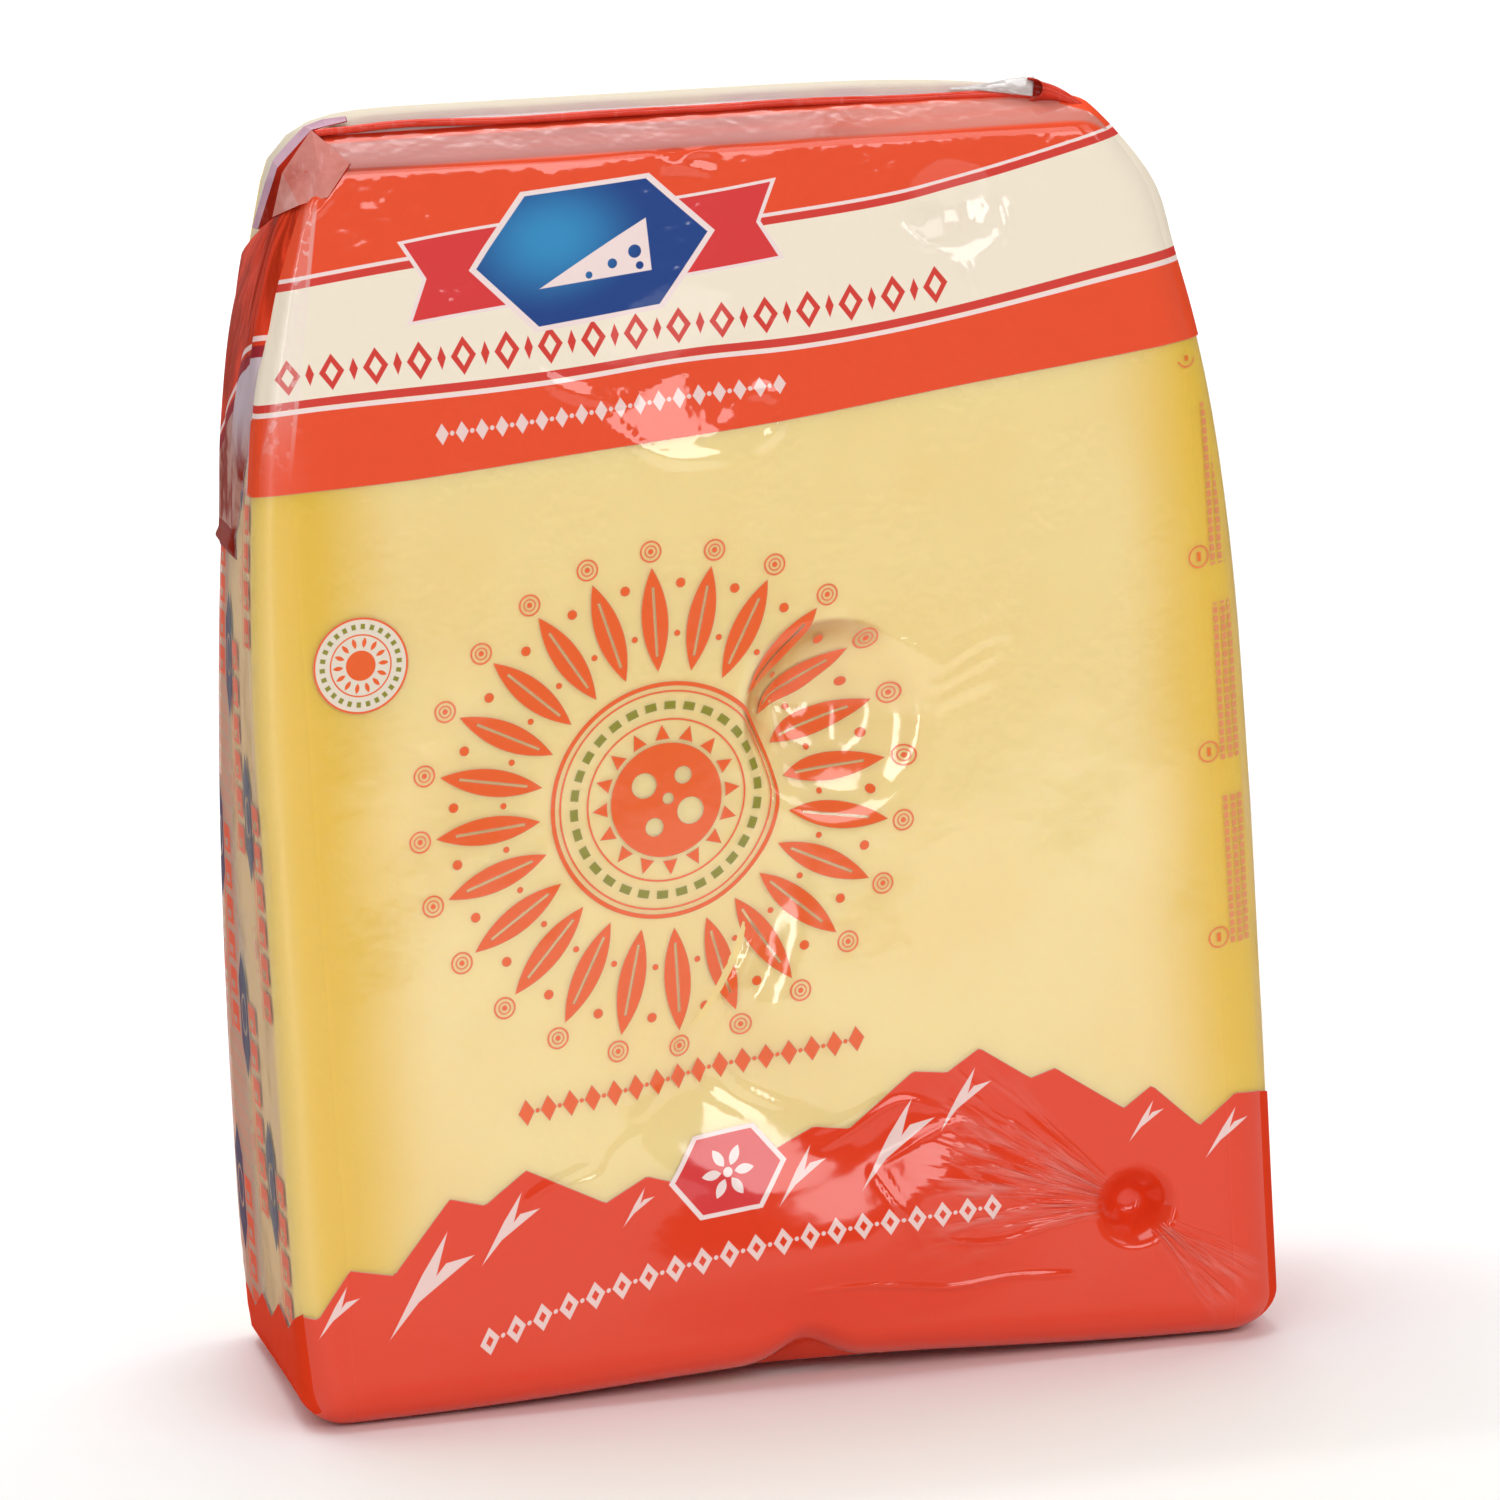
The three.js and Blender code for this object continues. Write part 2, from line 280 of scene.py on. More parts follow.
def unevenness(x, z):
    """Slow swells of the film, a few tenths of a millimetre deep."""
    return (
        0.28 * np.sin(x / 17 + 0.7) * np.sin(z / 23 + 1.9)
        + 0.18 * np.sin(x / 9.5 + z / 31 + 0.4) * np.sin(z / 14)
        + 0.10 * np.sin(x / 6.1 - z / 8.3)
    )


def film_place(box, folds=()):
    """From points of the box [-1, 1] x [-1, 1] x [0, 1] to the film's surface, in millimetres."""
    X, Y, Z = box.T
    foot = 1 - smooth(Z * SHOULDER_HEIGHT, 0, FOOT_HEIGHT)
    to_back = smooth(Y, -1, 1)
    to_right = smooth(X, -1, 1)
    edge = mix(mix(LEFT_EDGE, mix(*FOOT_CORNERS, to_back), foot), RIGHT_EDGE, to_right)
    base_edge = mix(mix(*FOOT_BASES, to_back), BASE_EDGE, to_right)
    rise = np.where(Z < 0.5, base_edge, RIM_EDGE)
    halves = np.array([HALF_WIDTH, DEPTH / 2, SHOULDER_HEIGHT / 2])
    centre = np.array([0, 0, SHOULDER_HEIGHT / 2])
    point = box * [HALF_WIDTH, DEPTH / 2, SHOULDER_HEIGHT]
    x, y, z = round_box(point, halves, centre, np.stack([edge, edge, rise], 1)).T

    back = y / DEPTH + 0.5
    left = mix(side_at(LEFT_FRONT, z), side_at(LEFT_BACK, z), back)
    along_rim = np.abs(x / HALF_WIDTH) ** np.where(x < 0, 16, 4)
    left = left + back * shoulder_at(LEFT_SHOULDER, z)
    right = side_at(RIGHT_SIDE, z) + shoulder_at(RIGHT_SHOULDER, z)
    x = x * np.where(x < 0, left, right) / HALF_WIDTH
    y = mix(front_at(z), back_at(z), back)
    z = z + CROWN * (1 - (2 * back - 1) ** 2) * (1 - along_rim) * smooth(Z, 0.9, 1)

    in_front = y - front_at(z)
    near = 1 - smooth(in_front, 0, RELIEF_FADE)
    low = (1 - smooth(in_front, 0, BASE_FADE)) * (1 - smooth(z, 0, BASE_REACH))
    relief = sum(hollow["depth"] * hollow_at(hollow, x, z) for hollow in HOLLOWS)
    relief = relief + BOWL["depth"] * bowl_at(BOWL, x, z)
    if folds:
        relief = relief - sum(fold_at(x, z, *fold) for fold in folds)
        relief = relief - sum(pucker_at(x, z, pucker) for pucker in PUCKERS)
    relief = relief + unevenness(x, z) * smooth(z, 4, 30)
    lift = sum(arch["rise"] * np.exp(-((x - arch["x"]) / arch["across"]) ** 2) for arch in BASE_ARCHES)
    place = np.stack([x, y + near * relief, z + low * lift], 1)

    for through, normal, softness in FLATS:
        out = np.array(normal) / np.linalg.norm(normal)
        above = (place - through) @ out
        excess = softness * np.logaddexp(0, above / softness)
        place = place - np.where(above > -8 * softness, excess, 0)[:, None] * out
    return place - [MIDDLE[0], MIDDLE[1], 0]


# ---- Skins of the block as polygons of box points, finer on the front than elsewhere ----
FRONT, BASE, RIGHT, TOP, LEFT, BACK = range(6)


def even_line(count, crowding=0.2):
    """A line from -1 to 1 whose points draw together towards its ends."""
    even = np.linspace(-1, 1, count + 1)
    return mix(even, np.sin(even * math.pi / 2), crowding)


def folded_line(count, low, high, weight):
    """A line from -1 to 1 that is also finer between two places."""
    even = even_line(4000)
    density = 1 + weight * smooth(even, low - 0.08, low + 0.02) * (1 - smooth(even, high - 0.02, high + 0.08))
    density /= np.sqrt(1.0001 - even ** 2 * 0.75)
    total = np.concatenate([[0], np.cumsum((density[1:] + density[:-1]) / 2 * np.diff(even))])
    line = np.interp(np.linspace(0, total[-1], count + 1), total, even)
    line[0], line[-1] = -1.0, 1.0
    return line


def box_loop(xs, zs, Y):
    """The block's four edges at one depth: along the base, up, back along the rim, down."""
    def points(X, Z):
        X, Z = np.broadcast_arrays(X, Z)
        return np.stack([X, np.full(X.shape, Y), Z], 1)
    return [points(xs, 0.0), points(1.0, zs), points(xs[::-1], 1.0), points(-1.0, zs[::-1])]


def band(near, far):
    """Triangles between two lines of points, which may have different counts."""
    made = []
    i = j = 0
    while i + 1 < len(near) or j + 1 < len(far):
        if (i + 1) / (len(near) - 1) <= (j + 1) / (len(far) - 1):
            made.append((near[i], far[j], near[i + 1]))
            i += 1
        else:
            made.append((near[i], far[j], far[j + 1]))
            j += 1
    return np.array(made)


def box_face(xs, zs, Y, turned):
    X, Z = np.meshgrid(xs, zs, indexing="ij")
    grid = np.stack([X, np.full(X.shape, Y), Z], 2)
    quads = [grid[:-1, :-1], grid[1:, :-1], grid[1:, 1:], grid[:-1, 1:]]
    return np.stack(quads[::-1] if turned else quads, 2).reshape(-1, 4, 3)


def box_skin(fine_xs, fine_zs, fine_levels, coarse, coarse_levels):
    """Quads and triangles of the whole skin, with the side of the block that each is on."""
    coarse_xs, coarse_zs = even_line(coarse[0]), (even_line(coarse[1]) + 1) / 2
    quads, quad_sides, triangles, triangle_sides = [], [], [], []
    for face, side in (
        (box_face(fine_xs, fine_zs, -1.0, False), FRONT),
        (box_face(coarse_xs, coarse_zs, 1.0, True), BACK),
    ):
        quads.append(face)
        quad_sides += [side] * len(face)
    loops = [box_loop(fine_xs, fine_zs, Y) for Y in fine_levels]
    loops += [box_loop(coarse_xs, coarse_zs, Y) for Y in coarse_levels]
    for near, far in zip(loops, loops[1:]):
        for side, (a, b) in enumerate(zip(near, far), start=BASE):
            if len(a) == len(b):
                strip = np.stack([a[:-1], b[:-1], b[1:], a[1:]], 1)
                quads.append(strip)
                quad_sides += [side] * len(strip)
            else:
                strip = band(a, b)
                triangles.append(strip)
                triangle_sides += [side] * len(strip)
    return (np.concatenate(quads), quad_sides), (np.concatenate(triangles), triangle_sides)


# ---- Flat coordinates of the film's print ----
# The film is drawn askew over the block: each rail is a line of the print, as it lies on the front.
RAILS = (
    (-6.0, ((-120, -19), (0, -6), (120, 13))),
    (26.0, ((-120, 10), (0, 26), (120, 45))),
    (60.0, ((-120, 47), (0, 60), (120, 76))),
    (143.0, ((-120, 132), (0, 143), (120, 155))),
    (224.0, ((-120, 214.8), (-79, 216.6), (-40, 219.9), (10, 224.4), (46, 229.0), (110, 237.0), (122, 239))),
    (240.0, ((-120, 232.5), (-105, 233.6), (-48, 236.2), (-7, 239.8), (12, 240.6), (106, 255.3), (122, 258))),
    (270.0, (
        (-120, 260), (-101, 262.6), (-74, 265.9), (6, 270.4), (45, 275), (60, 278.3), (91, 286), (122, 294),
    )),
    (305.0, ((-120, 300), (0, 304), (60, 309), (122, 325))),
)


def rail_height(points, x):
    """Height of a rail at x: a soft curve through its points."""
    xs, zs = np.array(points, float).T
    slope = np.gradient(zs, xs)
    k = np.clip(np.searchsorted(xs, x) - 1, 0, len(xs) - 2)
    span = xs[k + 1] - xs[k]
    t = np.clip((x - xs[k]) / span, 0.0, 1.0)
    rise = (1 - t) ** 2 * (1 + 2 * t) * zs[k] + t * t * (3 - 2 * t) * zs[k + 1]
    return rise + span * t * (1 - t) * ((1 - t) * slope[k] - t * slope[k + 1])


def print_height(x, z):
    """The print's own height v at a place on the front."""
    heights = np.array([rail_height(points, x) for _, points in RAILS])
    values = np.array([value for value, _ in RAILS])
    k = np.clip((z[None, :] > heights).sum(0) - 1, 0, len(RAILS) - 2)
    low = np.take_along_axis(heights, k[None], 0)[0]
    high = np.take_along_axis(heights, k[None] + 1, 0)[0]
    share = (z - low) / (high - low)
    return mix(values[k], values[k + 1], share)


SIDE_START = 200.0     # u of the print where a side of the block begins
BACK_MIDDLE = 500.0    # u of the middle of the back


def print_place(place, side):
    """Flat coordinates u, v of the print, in millimetres, at places that lie on given sides."""
    x, y, z = (place + [MIDDLE[0], MIDDLE[1], 0]).T
    inward = y - front_at(z)
    x = x + BOWL["drag"] * bowl_at(BOWL, x, z) * (side == FRONT)
    v = print_height(np.clip(x, -120, 122), z)
    round_base = np.where(side == BASE, np.maximum(inward - 2, 0), 0)
    over_rim = np.where(side == TOP, np.maximum(inward - 4, 0), 0)
    u = np.select(
        [side == LEFT, side == RIGHT, side == BACK],
        [-SIDE_START - inward, SIDE_START + inward, BACK_MIDDLE - x],
        x,
    )
    return np.stack([u, v - round_base + over_rim], 1)


# ---- Meshes ----
def link(name, mesh):
    item = bpy.data.objects.new(name, mesh)
    bpy.context.scene.collection.objects.link(item)
    return item


def plain_mesh(name, points, loops, counts):
    """A smooth mesh of points in millimetres and of corners listed face by face."""
    mesh = bpy.data.meshes.new(name)
    mesh.vertices.add(len(points))
    mesh.vertices.foreach_set("co", (np.asarray(points) * MM).ravel())
    mesh.loops.add(len(loops))
    mesh.loops.foreach_set("vertex_index", loops)
    mesh.polygons.add(len(counts))
    mesh.polygons.foreach_set("loop_start", np.concatenate([[0], np.cumsum(counts)[:-1]]))
    mesh.update(calc_edges=True)
    mesh.polygons.foreach_set("use_smooth", np.ones(len(counts), bool))
    return mesh


def skin_object(name, skin, inset=0.0, folds=()):
    """The block's skin as a closed mesh, with the print's coordinates; also each face's side and height."""
    (quads, quad_sides), (triangles, triangle_sides) = skin
    corners = np.concatenate([quads.reshape(-1, 3), triangles.reshape(-1, 3)])
    sides = np.concatenate([np.repeat(quad_sides, 4), np.repeat(triangle_sides, 3)])
    # corners at the same place are one point of the mesh
    keys = np.round((corners + [1, 1, 0]) * 4e5).astype(np.int64) @ np.array([1, 10 ** 6, 10 ** 12])
    _, chosen, loops = np.unique(keys, return_index=True, return_inverse=True)
    loops = loops.reshape(-1)
    counts = np.concatenate([np.full(len(quads), 4), np.full(len(triangles), 3)])
    box = corners[chosen]
    place = film_place(box, folds)
    mesh = plain_mesh(name, place, loops, counts)
    if inset:
        normals = np.zeros(len(box) * 3)
        mesh.vertex_normals.foreach_get("vector", normals)
        mesh.vertices.foreach_set("co", ((place - inset * normals.reshape(-1, 3)) * MM).ravel())
        mesh.update()
    flat = print_place(film_place(box)[loops], sides)
    mesh.uv_layers.new(name="print")
    mesh.uv_layers["print"].data.foreach_set("uv", flat.ravel())
    starts = np.concatenate([[0], np.cumsum(counts)[:-1]])
    return link(name, mesh), sides[starts], np.add.reduceat(flat[:, 1], starts) / counts


def sheet_object(name, outer, inner):
    """A closed sheet between two grids of points."""
    rows, columns = outer.shape[:2]
    grid = np.arange(rows * columns).reshape(rows, columns)
    quads = np.stack([grid[:-1, :-1], grid[1:, :-1], grid[1:, 1:], grid[:-1, 1:]], 2).reshape(-1, 4)
    rim = np.concatenate([grid[0, :-1], grid[:-1, -1], grid[-1, :0:-1], grid[:0:-1, 0]])
    after = np.roll(rim, -1)
    offset = rows * columns
    edge = np.stack([rim, after, after + offset, rim + offset], 1)
    faces = np.concatenate([quads, quads[:, ::-1] + offset, edge])
    points = np.concatenate([outer.reshape(-1, 3), inner.reshape(-1, 3)])
    return link(name, plain_mesh(name, points, faces.ravel(), np.full(len(faces), 4)))


# ---- Materials ----
class Value:
    """A number in a material; Python's operators add Math nodes to it."""

    def __init__(self, finish, socket):
        self.finish = finish
        self.socket = socket

    def __neg__(self):
        return self.finish.math("MULTIPLY", self, -1.0)

    def __abs__(self):
        return self.finish.math("ABSOLUTE", self)


def operator(operation, swapped=False):
    """A method of Value that adds one Math node."""
    def add_node(self, other):
        return self.finish.math(operation, *((other, self) if swapped else (self, other)))
    return add_node


Value.__add__ = operator("ADD")
Value.__sub__ = operator("SUBTRACT")
Value.__mul__ = operator("MULTIPLY")
Value.__truediv__ = operator("DIVIDE")
Value.__mod__ = operator("FLOORED_MODULO")
Value.__rsub__ = operator("SUBTRACT", swapped=True)


class Finish:
    """One material and the nodes that give its look."""

    def __init__(self, name):
        self.material = bpy.data.materials.new(name)
        self.material.use_nodes = True
        self.tree = self.material.node_tree
        self.tree.nodes.clear()
        place = self.node("TexCoord").outputs["Object"]
        self.place = self.node("VectorMath", {"operation": "SCALE"}, {0: place, "Scale": 1 / MM}).outputs[0]

    def node(self, kind, settings=None, inputs=None):
        """Any node: its settings first, then the values or links of its sockets."""
        made = self.tree.nodes.new("ShaderNode" + kind)
        for key, value in (settings or {}).items():
            if key == "stops":
                self.set_stops(made.color_ramp.elements, value)
            else:
                setattr(made, key, value)
        for key, value in (inputs or {}).items():
            value = getattr(value, "socket", value)
            if isinstance(value, bpy.types.NodeSocket):
                self.tree.links.new(value, made.inputs[key])
            else:
                made.inputs[key].default_value = value
        return made

    @staticmethod
    def set_stops(elements, stops):
        while len(elements) < len(stops):
            elements.new(1.0)
        for element, (position, grey) in zip(elements, stops):
            element.position = position
            element.color = (grey, grey, grey, 1.0)

    def math(self, operation, *values, clamp=False):
        settings = {"operation": operation, "use_clamp": clamp}
        return Value(self, self.node("Math", settings, dict(enumerate(values))).outputs[0])

    def low(self, first, *others):
        for other in others:
            first = self.math("MINIMUM", first, other)
        return first

    def high(self, first, *others):
        for other in others:
            first = self.math("MAXIMUM", first, other)
        return first

    def length(self, a, b):
        return self.math("SQRT", a * a + b * b)

    def fill(self, distance, soft=0.14):
        """1 inside a shape and 0 outside it, with an edge as soft as ink."""
        return self.math("MULTIPLY_ADD", distance, -1 / soft, 0.5, clamp=True)

    def ramp(self, value, low, high):
        """0 below low, 1 above high, and a soft step between them."""
        inputs = {0: value, 1: low, 2: high, 3: 0.0, 4: 1.0}
        return Value(self, self.node("MapRange", {"interpolation_type": "SMOOTHSTEP"}, inputs).outputs[0])

    def over(self, under, colour, share):
        return self.node("Mix", {"data_type": "RGBA"}, {0: share, 6: under, 7: colour}).outputs[2]

    def split(self, vector):
        made = self.node("SeparateXYZ", None, {0: vector})
        return [Value(self, made.outputs[k]) for k in range(3)]

    def noise(self, scale, detail=2.0, roughness=0.5, stretch=None, vector=None):
        """Noise over the object's place in millimetres, which may be stretched, or over a given vector."""
        vector = vector or self.place
        if stretch:
            vector = self.node("Mapping", None, {"Vector": vector, "Scale": stretch}).outputs[0]
        inputs = {"Vector": vector, "Scale": scale, "Detail": detail, "Roughness": roughness}
        return Value(self, self.node("TexNoise", {"noise_dimensions": "3D"}, inputs).outputs[0])

    def bump(self, height, distance, strength=1.0):
        inputs = {"Strength": strength, "Distance": distance * MM, "Height": height}
        return self.node("Bump", None, inputs).outputs[0]

    def shader(self, kind, inputs):
        return self.node("Bsdf" + kind, None, inputs).outputs[0]

    def show(self, shader):
        output = self.node("OutputMaterial")
        self.tree.links.new(shader, output.inputs["Surface"])
        return self.material


def paint(code):
    """A colour written as on a colour card, as linear light."""
    parts = [int(code[k:k + 2], 16) / 255 for k in (1, 3, 5)]
    return tuple(p / 12.92 if p <= 0.04045 else ((p + 0.055) / 1.055) ** 2.4 for p in parts) + (1.0,)


RED = paint("#EB5230")
LOW_RED = paint("#E43D1B")
DARK_RED = paint("#D6433A")
RIBBON_RED = paint("#DB3F40")
CREAM = paint("#F4E7D2")
WHITE = paint("#F3DEDA")
PALE = paint("#EFCFC9")
ORANGE = paint("#EC6430")
SEAL_ORANGE = paint("#E8741C")
OLIVE = paint("#8F8A33")
BLUE = paint("#284688")
LIGHT_BLUE = paint("#3A8DC2")
NAVY = paint("#22345F")
LILAC = paint("#D3AFC2")
HAZE = paint("#EFE3D0")
GREY_PINK = paint("#A55349")
SEAM_SHADE = paint("#A02413")
CHEESE = paint("#FAE1A0")
RIPE = paint("#EAC030")
RIND = paint("#D6AE78")
RIND_DARK = paint("#B0874F")
RIM = paint("#D6C8AC")


class Print:
    """Shapes in flat coordinates u, v of the film's print, in millimetres."""

    def __init__(self, finish, u, v):
        self.finish, self.u, self.v = finish, u, v

    def at(self, u, v, slope=0.0):
        """The same print with its origin moved, and turned to a slope."""
        du = self.u - u if u else self.u
        dv = self.v - v if v else self.v
        if not slope:
            return Print(self.finish, du, dv)
        c, s = 1 / math.hypot(1, slope), slope / math.hypot(1, slope)
        return Print(self.finish, du * c + dv * s, dv * c - du * s)

    def box(self, half_u, half_v):
        return self.finish.high(abs(self.u) - half_u, abs(self.v) - half_v)

    def disc(self, radius):
        return self.finish.length(self.u, self.v) - radius

    def ring(self, radius, width):
        return abs(self.disc(radius)) - width / 2

    def lozenge(self, half_u, half_v):
        length = math.hypot(half_u, half_v)
        return abs(self.u) * (half_v / length) + abs(self.v) * (half_u / length) - half_u * half_v / length

    def hexagon(self, half_u, half_v):
        """Six sides, with points at the left and the right."""
        return self.finish.high(self.lozenge(half_u, half_v * 2.1), abs(self.v) - half_v)

    def row(self, count, pitch):
        """The print in one cell of a row along u, and the distance past the row's ends."""
        cell = (self.u + pitch / 2) % pitch - pitch / 2
        return Print(self.finish, cell, self.v), abs(self.u - (count - 1) * pitch / 2) - count * pitch / 2

    def spokes(self, count, turn=0.0):
        """The print in one of equal sectors: u runs outwards from the centre, v across."""
        radius = self.finish.length(self.u, self.v)
        angle = self.finish.math("ARCTAN2", self.v, self.u) + turn
        step = 2 * math.pi / count
        return Print(self.finish, radius, ((angle + step / 2) % step - step / 2) * radius)

    def leaf(self, start, end, half):
        """A leaf along u from start to end."""
        along = (self.u - (start + end) / 2) / ((end - start) / 2)
        return abs(self.v) - (1 - along * along) * half

    def polygon(self, *corners):
        """A convex shape with its corners counter-clockwise."""
        sides = []
        for (u0, v0), (u1, v1) in zip(corners, corners[1:] + corners[:1]):
            length = math.hypot(u1 - u0, v1 - v0)
            nu, nv = (v1 - v0) / length, (u0 - u1) / length
            sides.append(self.u * nu + self.v * nv - (u0 * nu + v0 * nv))
        return self.finish.high(*sides)


FILM_GLOSS = 0.075    # share of light that both faces of clear film throw back
CORNER_FLAT = 248.94  # of the top left corner's flat: the weighted sum of its x, y and z


class Film(Finish):
    """A zone of the film: inks laid over clear film, one after another."""

    def __init__(self, name):
        super().__init__(name)
        coordinates = self.node("UVMap", {"uv_map": "print"}).outputs[0]
        self.u, self.v, _ = self.split(coordinates)
        self.x, self.y, self.z = self.split(self.place)
        self.sheet = Print(self, self.u, self.v)
        self.colour = HAZE
        self.clear = None

    def ink(self, colour, *distances, strength=1.0):
        """Lays one colour where any of the shapes is."""
        share = self.fill(self.low(*distances))
        self.lay(colour, share * strength if strength < 1 else share)

    def lay(self, colour, share):
        self.colour = self.over(self.colour, colour, share)
        left = 1 - share
        self.clear = left if self.clear is None else self.clear * left

    def lozenges(self, row, colour, half_u, half_v, hollow=0.0, dots=0.0):
        cell, end = row
        shape = cell.lozenge(half_u, half_v)
        if hollow:
            shape = self.high(shape, -cell.lozenge(half_u * hollow, half_v * hollow))
        shapes = [self.high(shape, end)]
        if dots:
            between = Print(self, abs(cell.u) - dots, cell.v)
            shapes.append(self.high(between.disc(0.5), end + dots))
        self.ink(colour, *shapes)

    def facets(self):
        """Greyish pink at the top left corner, which is a painted reflection, and a pale strip down from it.
        """
        corner = self.x * -0.5 - self.y * 0.62 + self.z * 0.6 - CORNER_FLAT
        self.colour = self.over(self.colour, GREY_PINK, self.ramp(corner, -0.4, -0.05))
        from_left = self.x + 104.5 - (self.z - 252) * 0.25
        from_right = self.x + 99.9 - (self.z - 251) * 0.165
        reach = self.ramp(self.z, 216, 240) * (1 - self.ramp(self.z, 277, 281)) * self.ramp(-self.y, 48, 50)
        bubbles = self.ramp(self.noise(0.5, 1.0), 0.55, 0.66) * 0.3 + 0.16
        pale = self.ramp(from_left, 0.0, 0.8) * (1 - self.ramp(from_right, -0.3, 0.1)) * bubbles
        line = 1 - self.ramp(abs(from_right), 0.3, 0.7)
        pale = self.high(pale, line * 0.35) * reach
        self.colour = self.over(self.colour, WHITE, pale)
        self.clear = self.clear * (1 - pale * 0.6)

    def close(self, ripple=0.35, sheen=0.9, gloss=0.6, coat=0.0, blur=0.07, creases=None):
        """The material: printed film where there is ink, and glossy clear film elsewhere."""
        height = self.noise(0.13, 2.0, 0.55) * ripple
        if creases is not None:
            height = height + creases
        bump = self.bump(height, 1.0)
        rough = self.ramp(abs(self.x), 95, 113) * 0.3 + blur
        glance = self.node("LayerWeight", None, {"Blend": 0.5, "Normal": bump}).outputs["Facing"]
        glance = self.math("POWER", Value(self, glance), 5.0) * sheen + FILM_GLOSS
        mirror = self.shader("Glossy", {"Color": (1, 1, 1, 1), "Roughness": rough, "Normal": bump})
        through = self.shader("Transparent", {"Color": (1, 1, 1, 1)})
        film = self.node("MixShader", None, {0: glance, 1: through, 2: mirror}).outputs[0]
        if self.clear is None:
            return self.show(film)
        printed = self.shader("Principled", {
            "Base Color": self.colour, "Roughness": rough, "Specular IOR Level": gloss, "Normal": bump,
            "Coat Weight": coat, "Coat Roughness": 0.1,
        })
        return self.show(self.node("MixShader", None, {0: 1 - self.clear, 1: film, 2: printed}).outputs[0])


def lay_bands(film, front=True):
    """The red band and top field, their stripes and the cream band between them."""
    film.ink(RED, abs(film.v - 274) - 50)
    if front:
        film.lozenges(film.sheet.at(-70, 232.3).row(18, 4.6), PALE, 1.5, 2.2, dots=2.3)
    film.ink(WHITE, abs(film.v - 240.0) - 0.45)
    film.ink(CREAM, abs(film.v - 255.0) - 14.6)
    film.ink(DARK_RED, abs(film.v - 241.6) - 0.95, abs(film.v - 269.2) - 0.85)
    film.ink(WHITE, abs(film.v - 270.6) - 0.42)
    if front:
        cell, end = film.sheet.at(-104, 248.2).row(16, 10.0)
        hollow = film.high(cell.lozenge(2.9, 4.2), -cell.lozenge(1.4, 2.2))
        between = Print(film, abs(cell.u) - 5.0, cell.v).lozenge(1.0, 2.6)
        film.ink(DARK_RED, film.high(hollow, end), film.high(between, end + 5.0))


def bands_material():
    film = Film("film_bands")
    lay_bands(film)
    # a six-sided badge on a ribbon
    badge = film.sheet.at(-33, 267.5, 0.05)
    tail = abs(badge.u) - abs(badge.v) * 0.5
    film.ink(WHITE, film.high(abs(badge.v) - 9.3, tail - 39.2))
    film.ink(RIBBON_RED, film.high(abs(badge.v) - 8.6, tail - 38.2))
    film.ink(WHITE, badge.hexagon(28.5, 15.6))
    glow = film.ramp(film.length(badge.u + 9, (badge.v - 4) * 1.4), 2, 24)
    film.ink(film.over(LIGHT_BLUE, BLUE, glow), badge.hexagon(26.8, 14.5))
    piece = badge.polygon((-13, -6.5), (13, -6.5), (13, 5.5))
    holes = film.low(
        badge.at(9.6, -1.7).disc(1.5), badge.at(4.2, -3.6).disc(1.1), badge.at(10.4, -5.0).disc(0.9),
        badge.at(-1.4, -5.3).disc(0.8),
    )
    film.ink(WHITE, film.high(piece, -holes))
    film.facets()
    return film.close()


def rim_material():
    """The top of the film: its red field, a painted reflection in greyish pink on the facet that bridges a
    gap, painted shadow under the seam, and clear film behind the seam.
    """
    film = Film("film_rim")
    lay_bands(film, front=False)
    up_slope = (film.y + 51.9) * 0.82 + (film.z - 287.5) * 0.58 - film.x * 0.006
    before_seam = film.ramp(-film.y, 40.4, 40.8)
    streaks = film.ramp(film.noise(1.0, 2.0, 0.5, stretch=(0.015, 0.2, 0.2)), 0.25, 0.6)
    # painted reflection: greyish pink on the facet, lighter towards the right, with faint streaks
    facet = film.ramp(up_slope, -0.5, 1.0) * (1 - film.ramp(up_slope, 10.2, 12.0)) * (streaks * 0.15 + 0.8)
    film.facets()
    facet_sheen = film.over(GREY_PINK, paint("#CF8174"), film.ramp(film.x, 2, 48))
    film.colour = film.over(film.colour, facet_sheen, facet * before_seam)
    film.colour = film.over(film.colour, SEAM_SHADE, film.ramp(up_slope, 11.4, 13.0) * before_seam * 0.95)
    film.colour = film.over(film.colour, LILAC, 1 - before_seam)
    edge = film.ramp(-film.y - film.noise(0.05) * 9, 27.0, 35.0) * 0.4 + 0.04
    behind = (1 - before_seam) * film.ramp(film.z, 258, 266)
    film.clear = film.clear * (1 - behind) + behind * (1 - edge)
    return film.close(ripple=0.05, sheen=0.1, gloss=0.3)


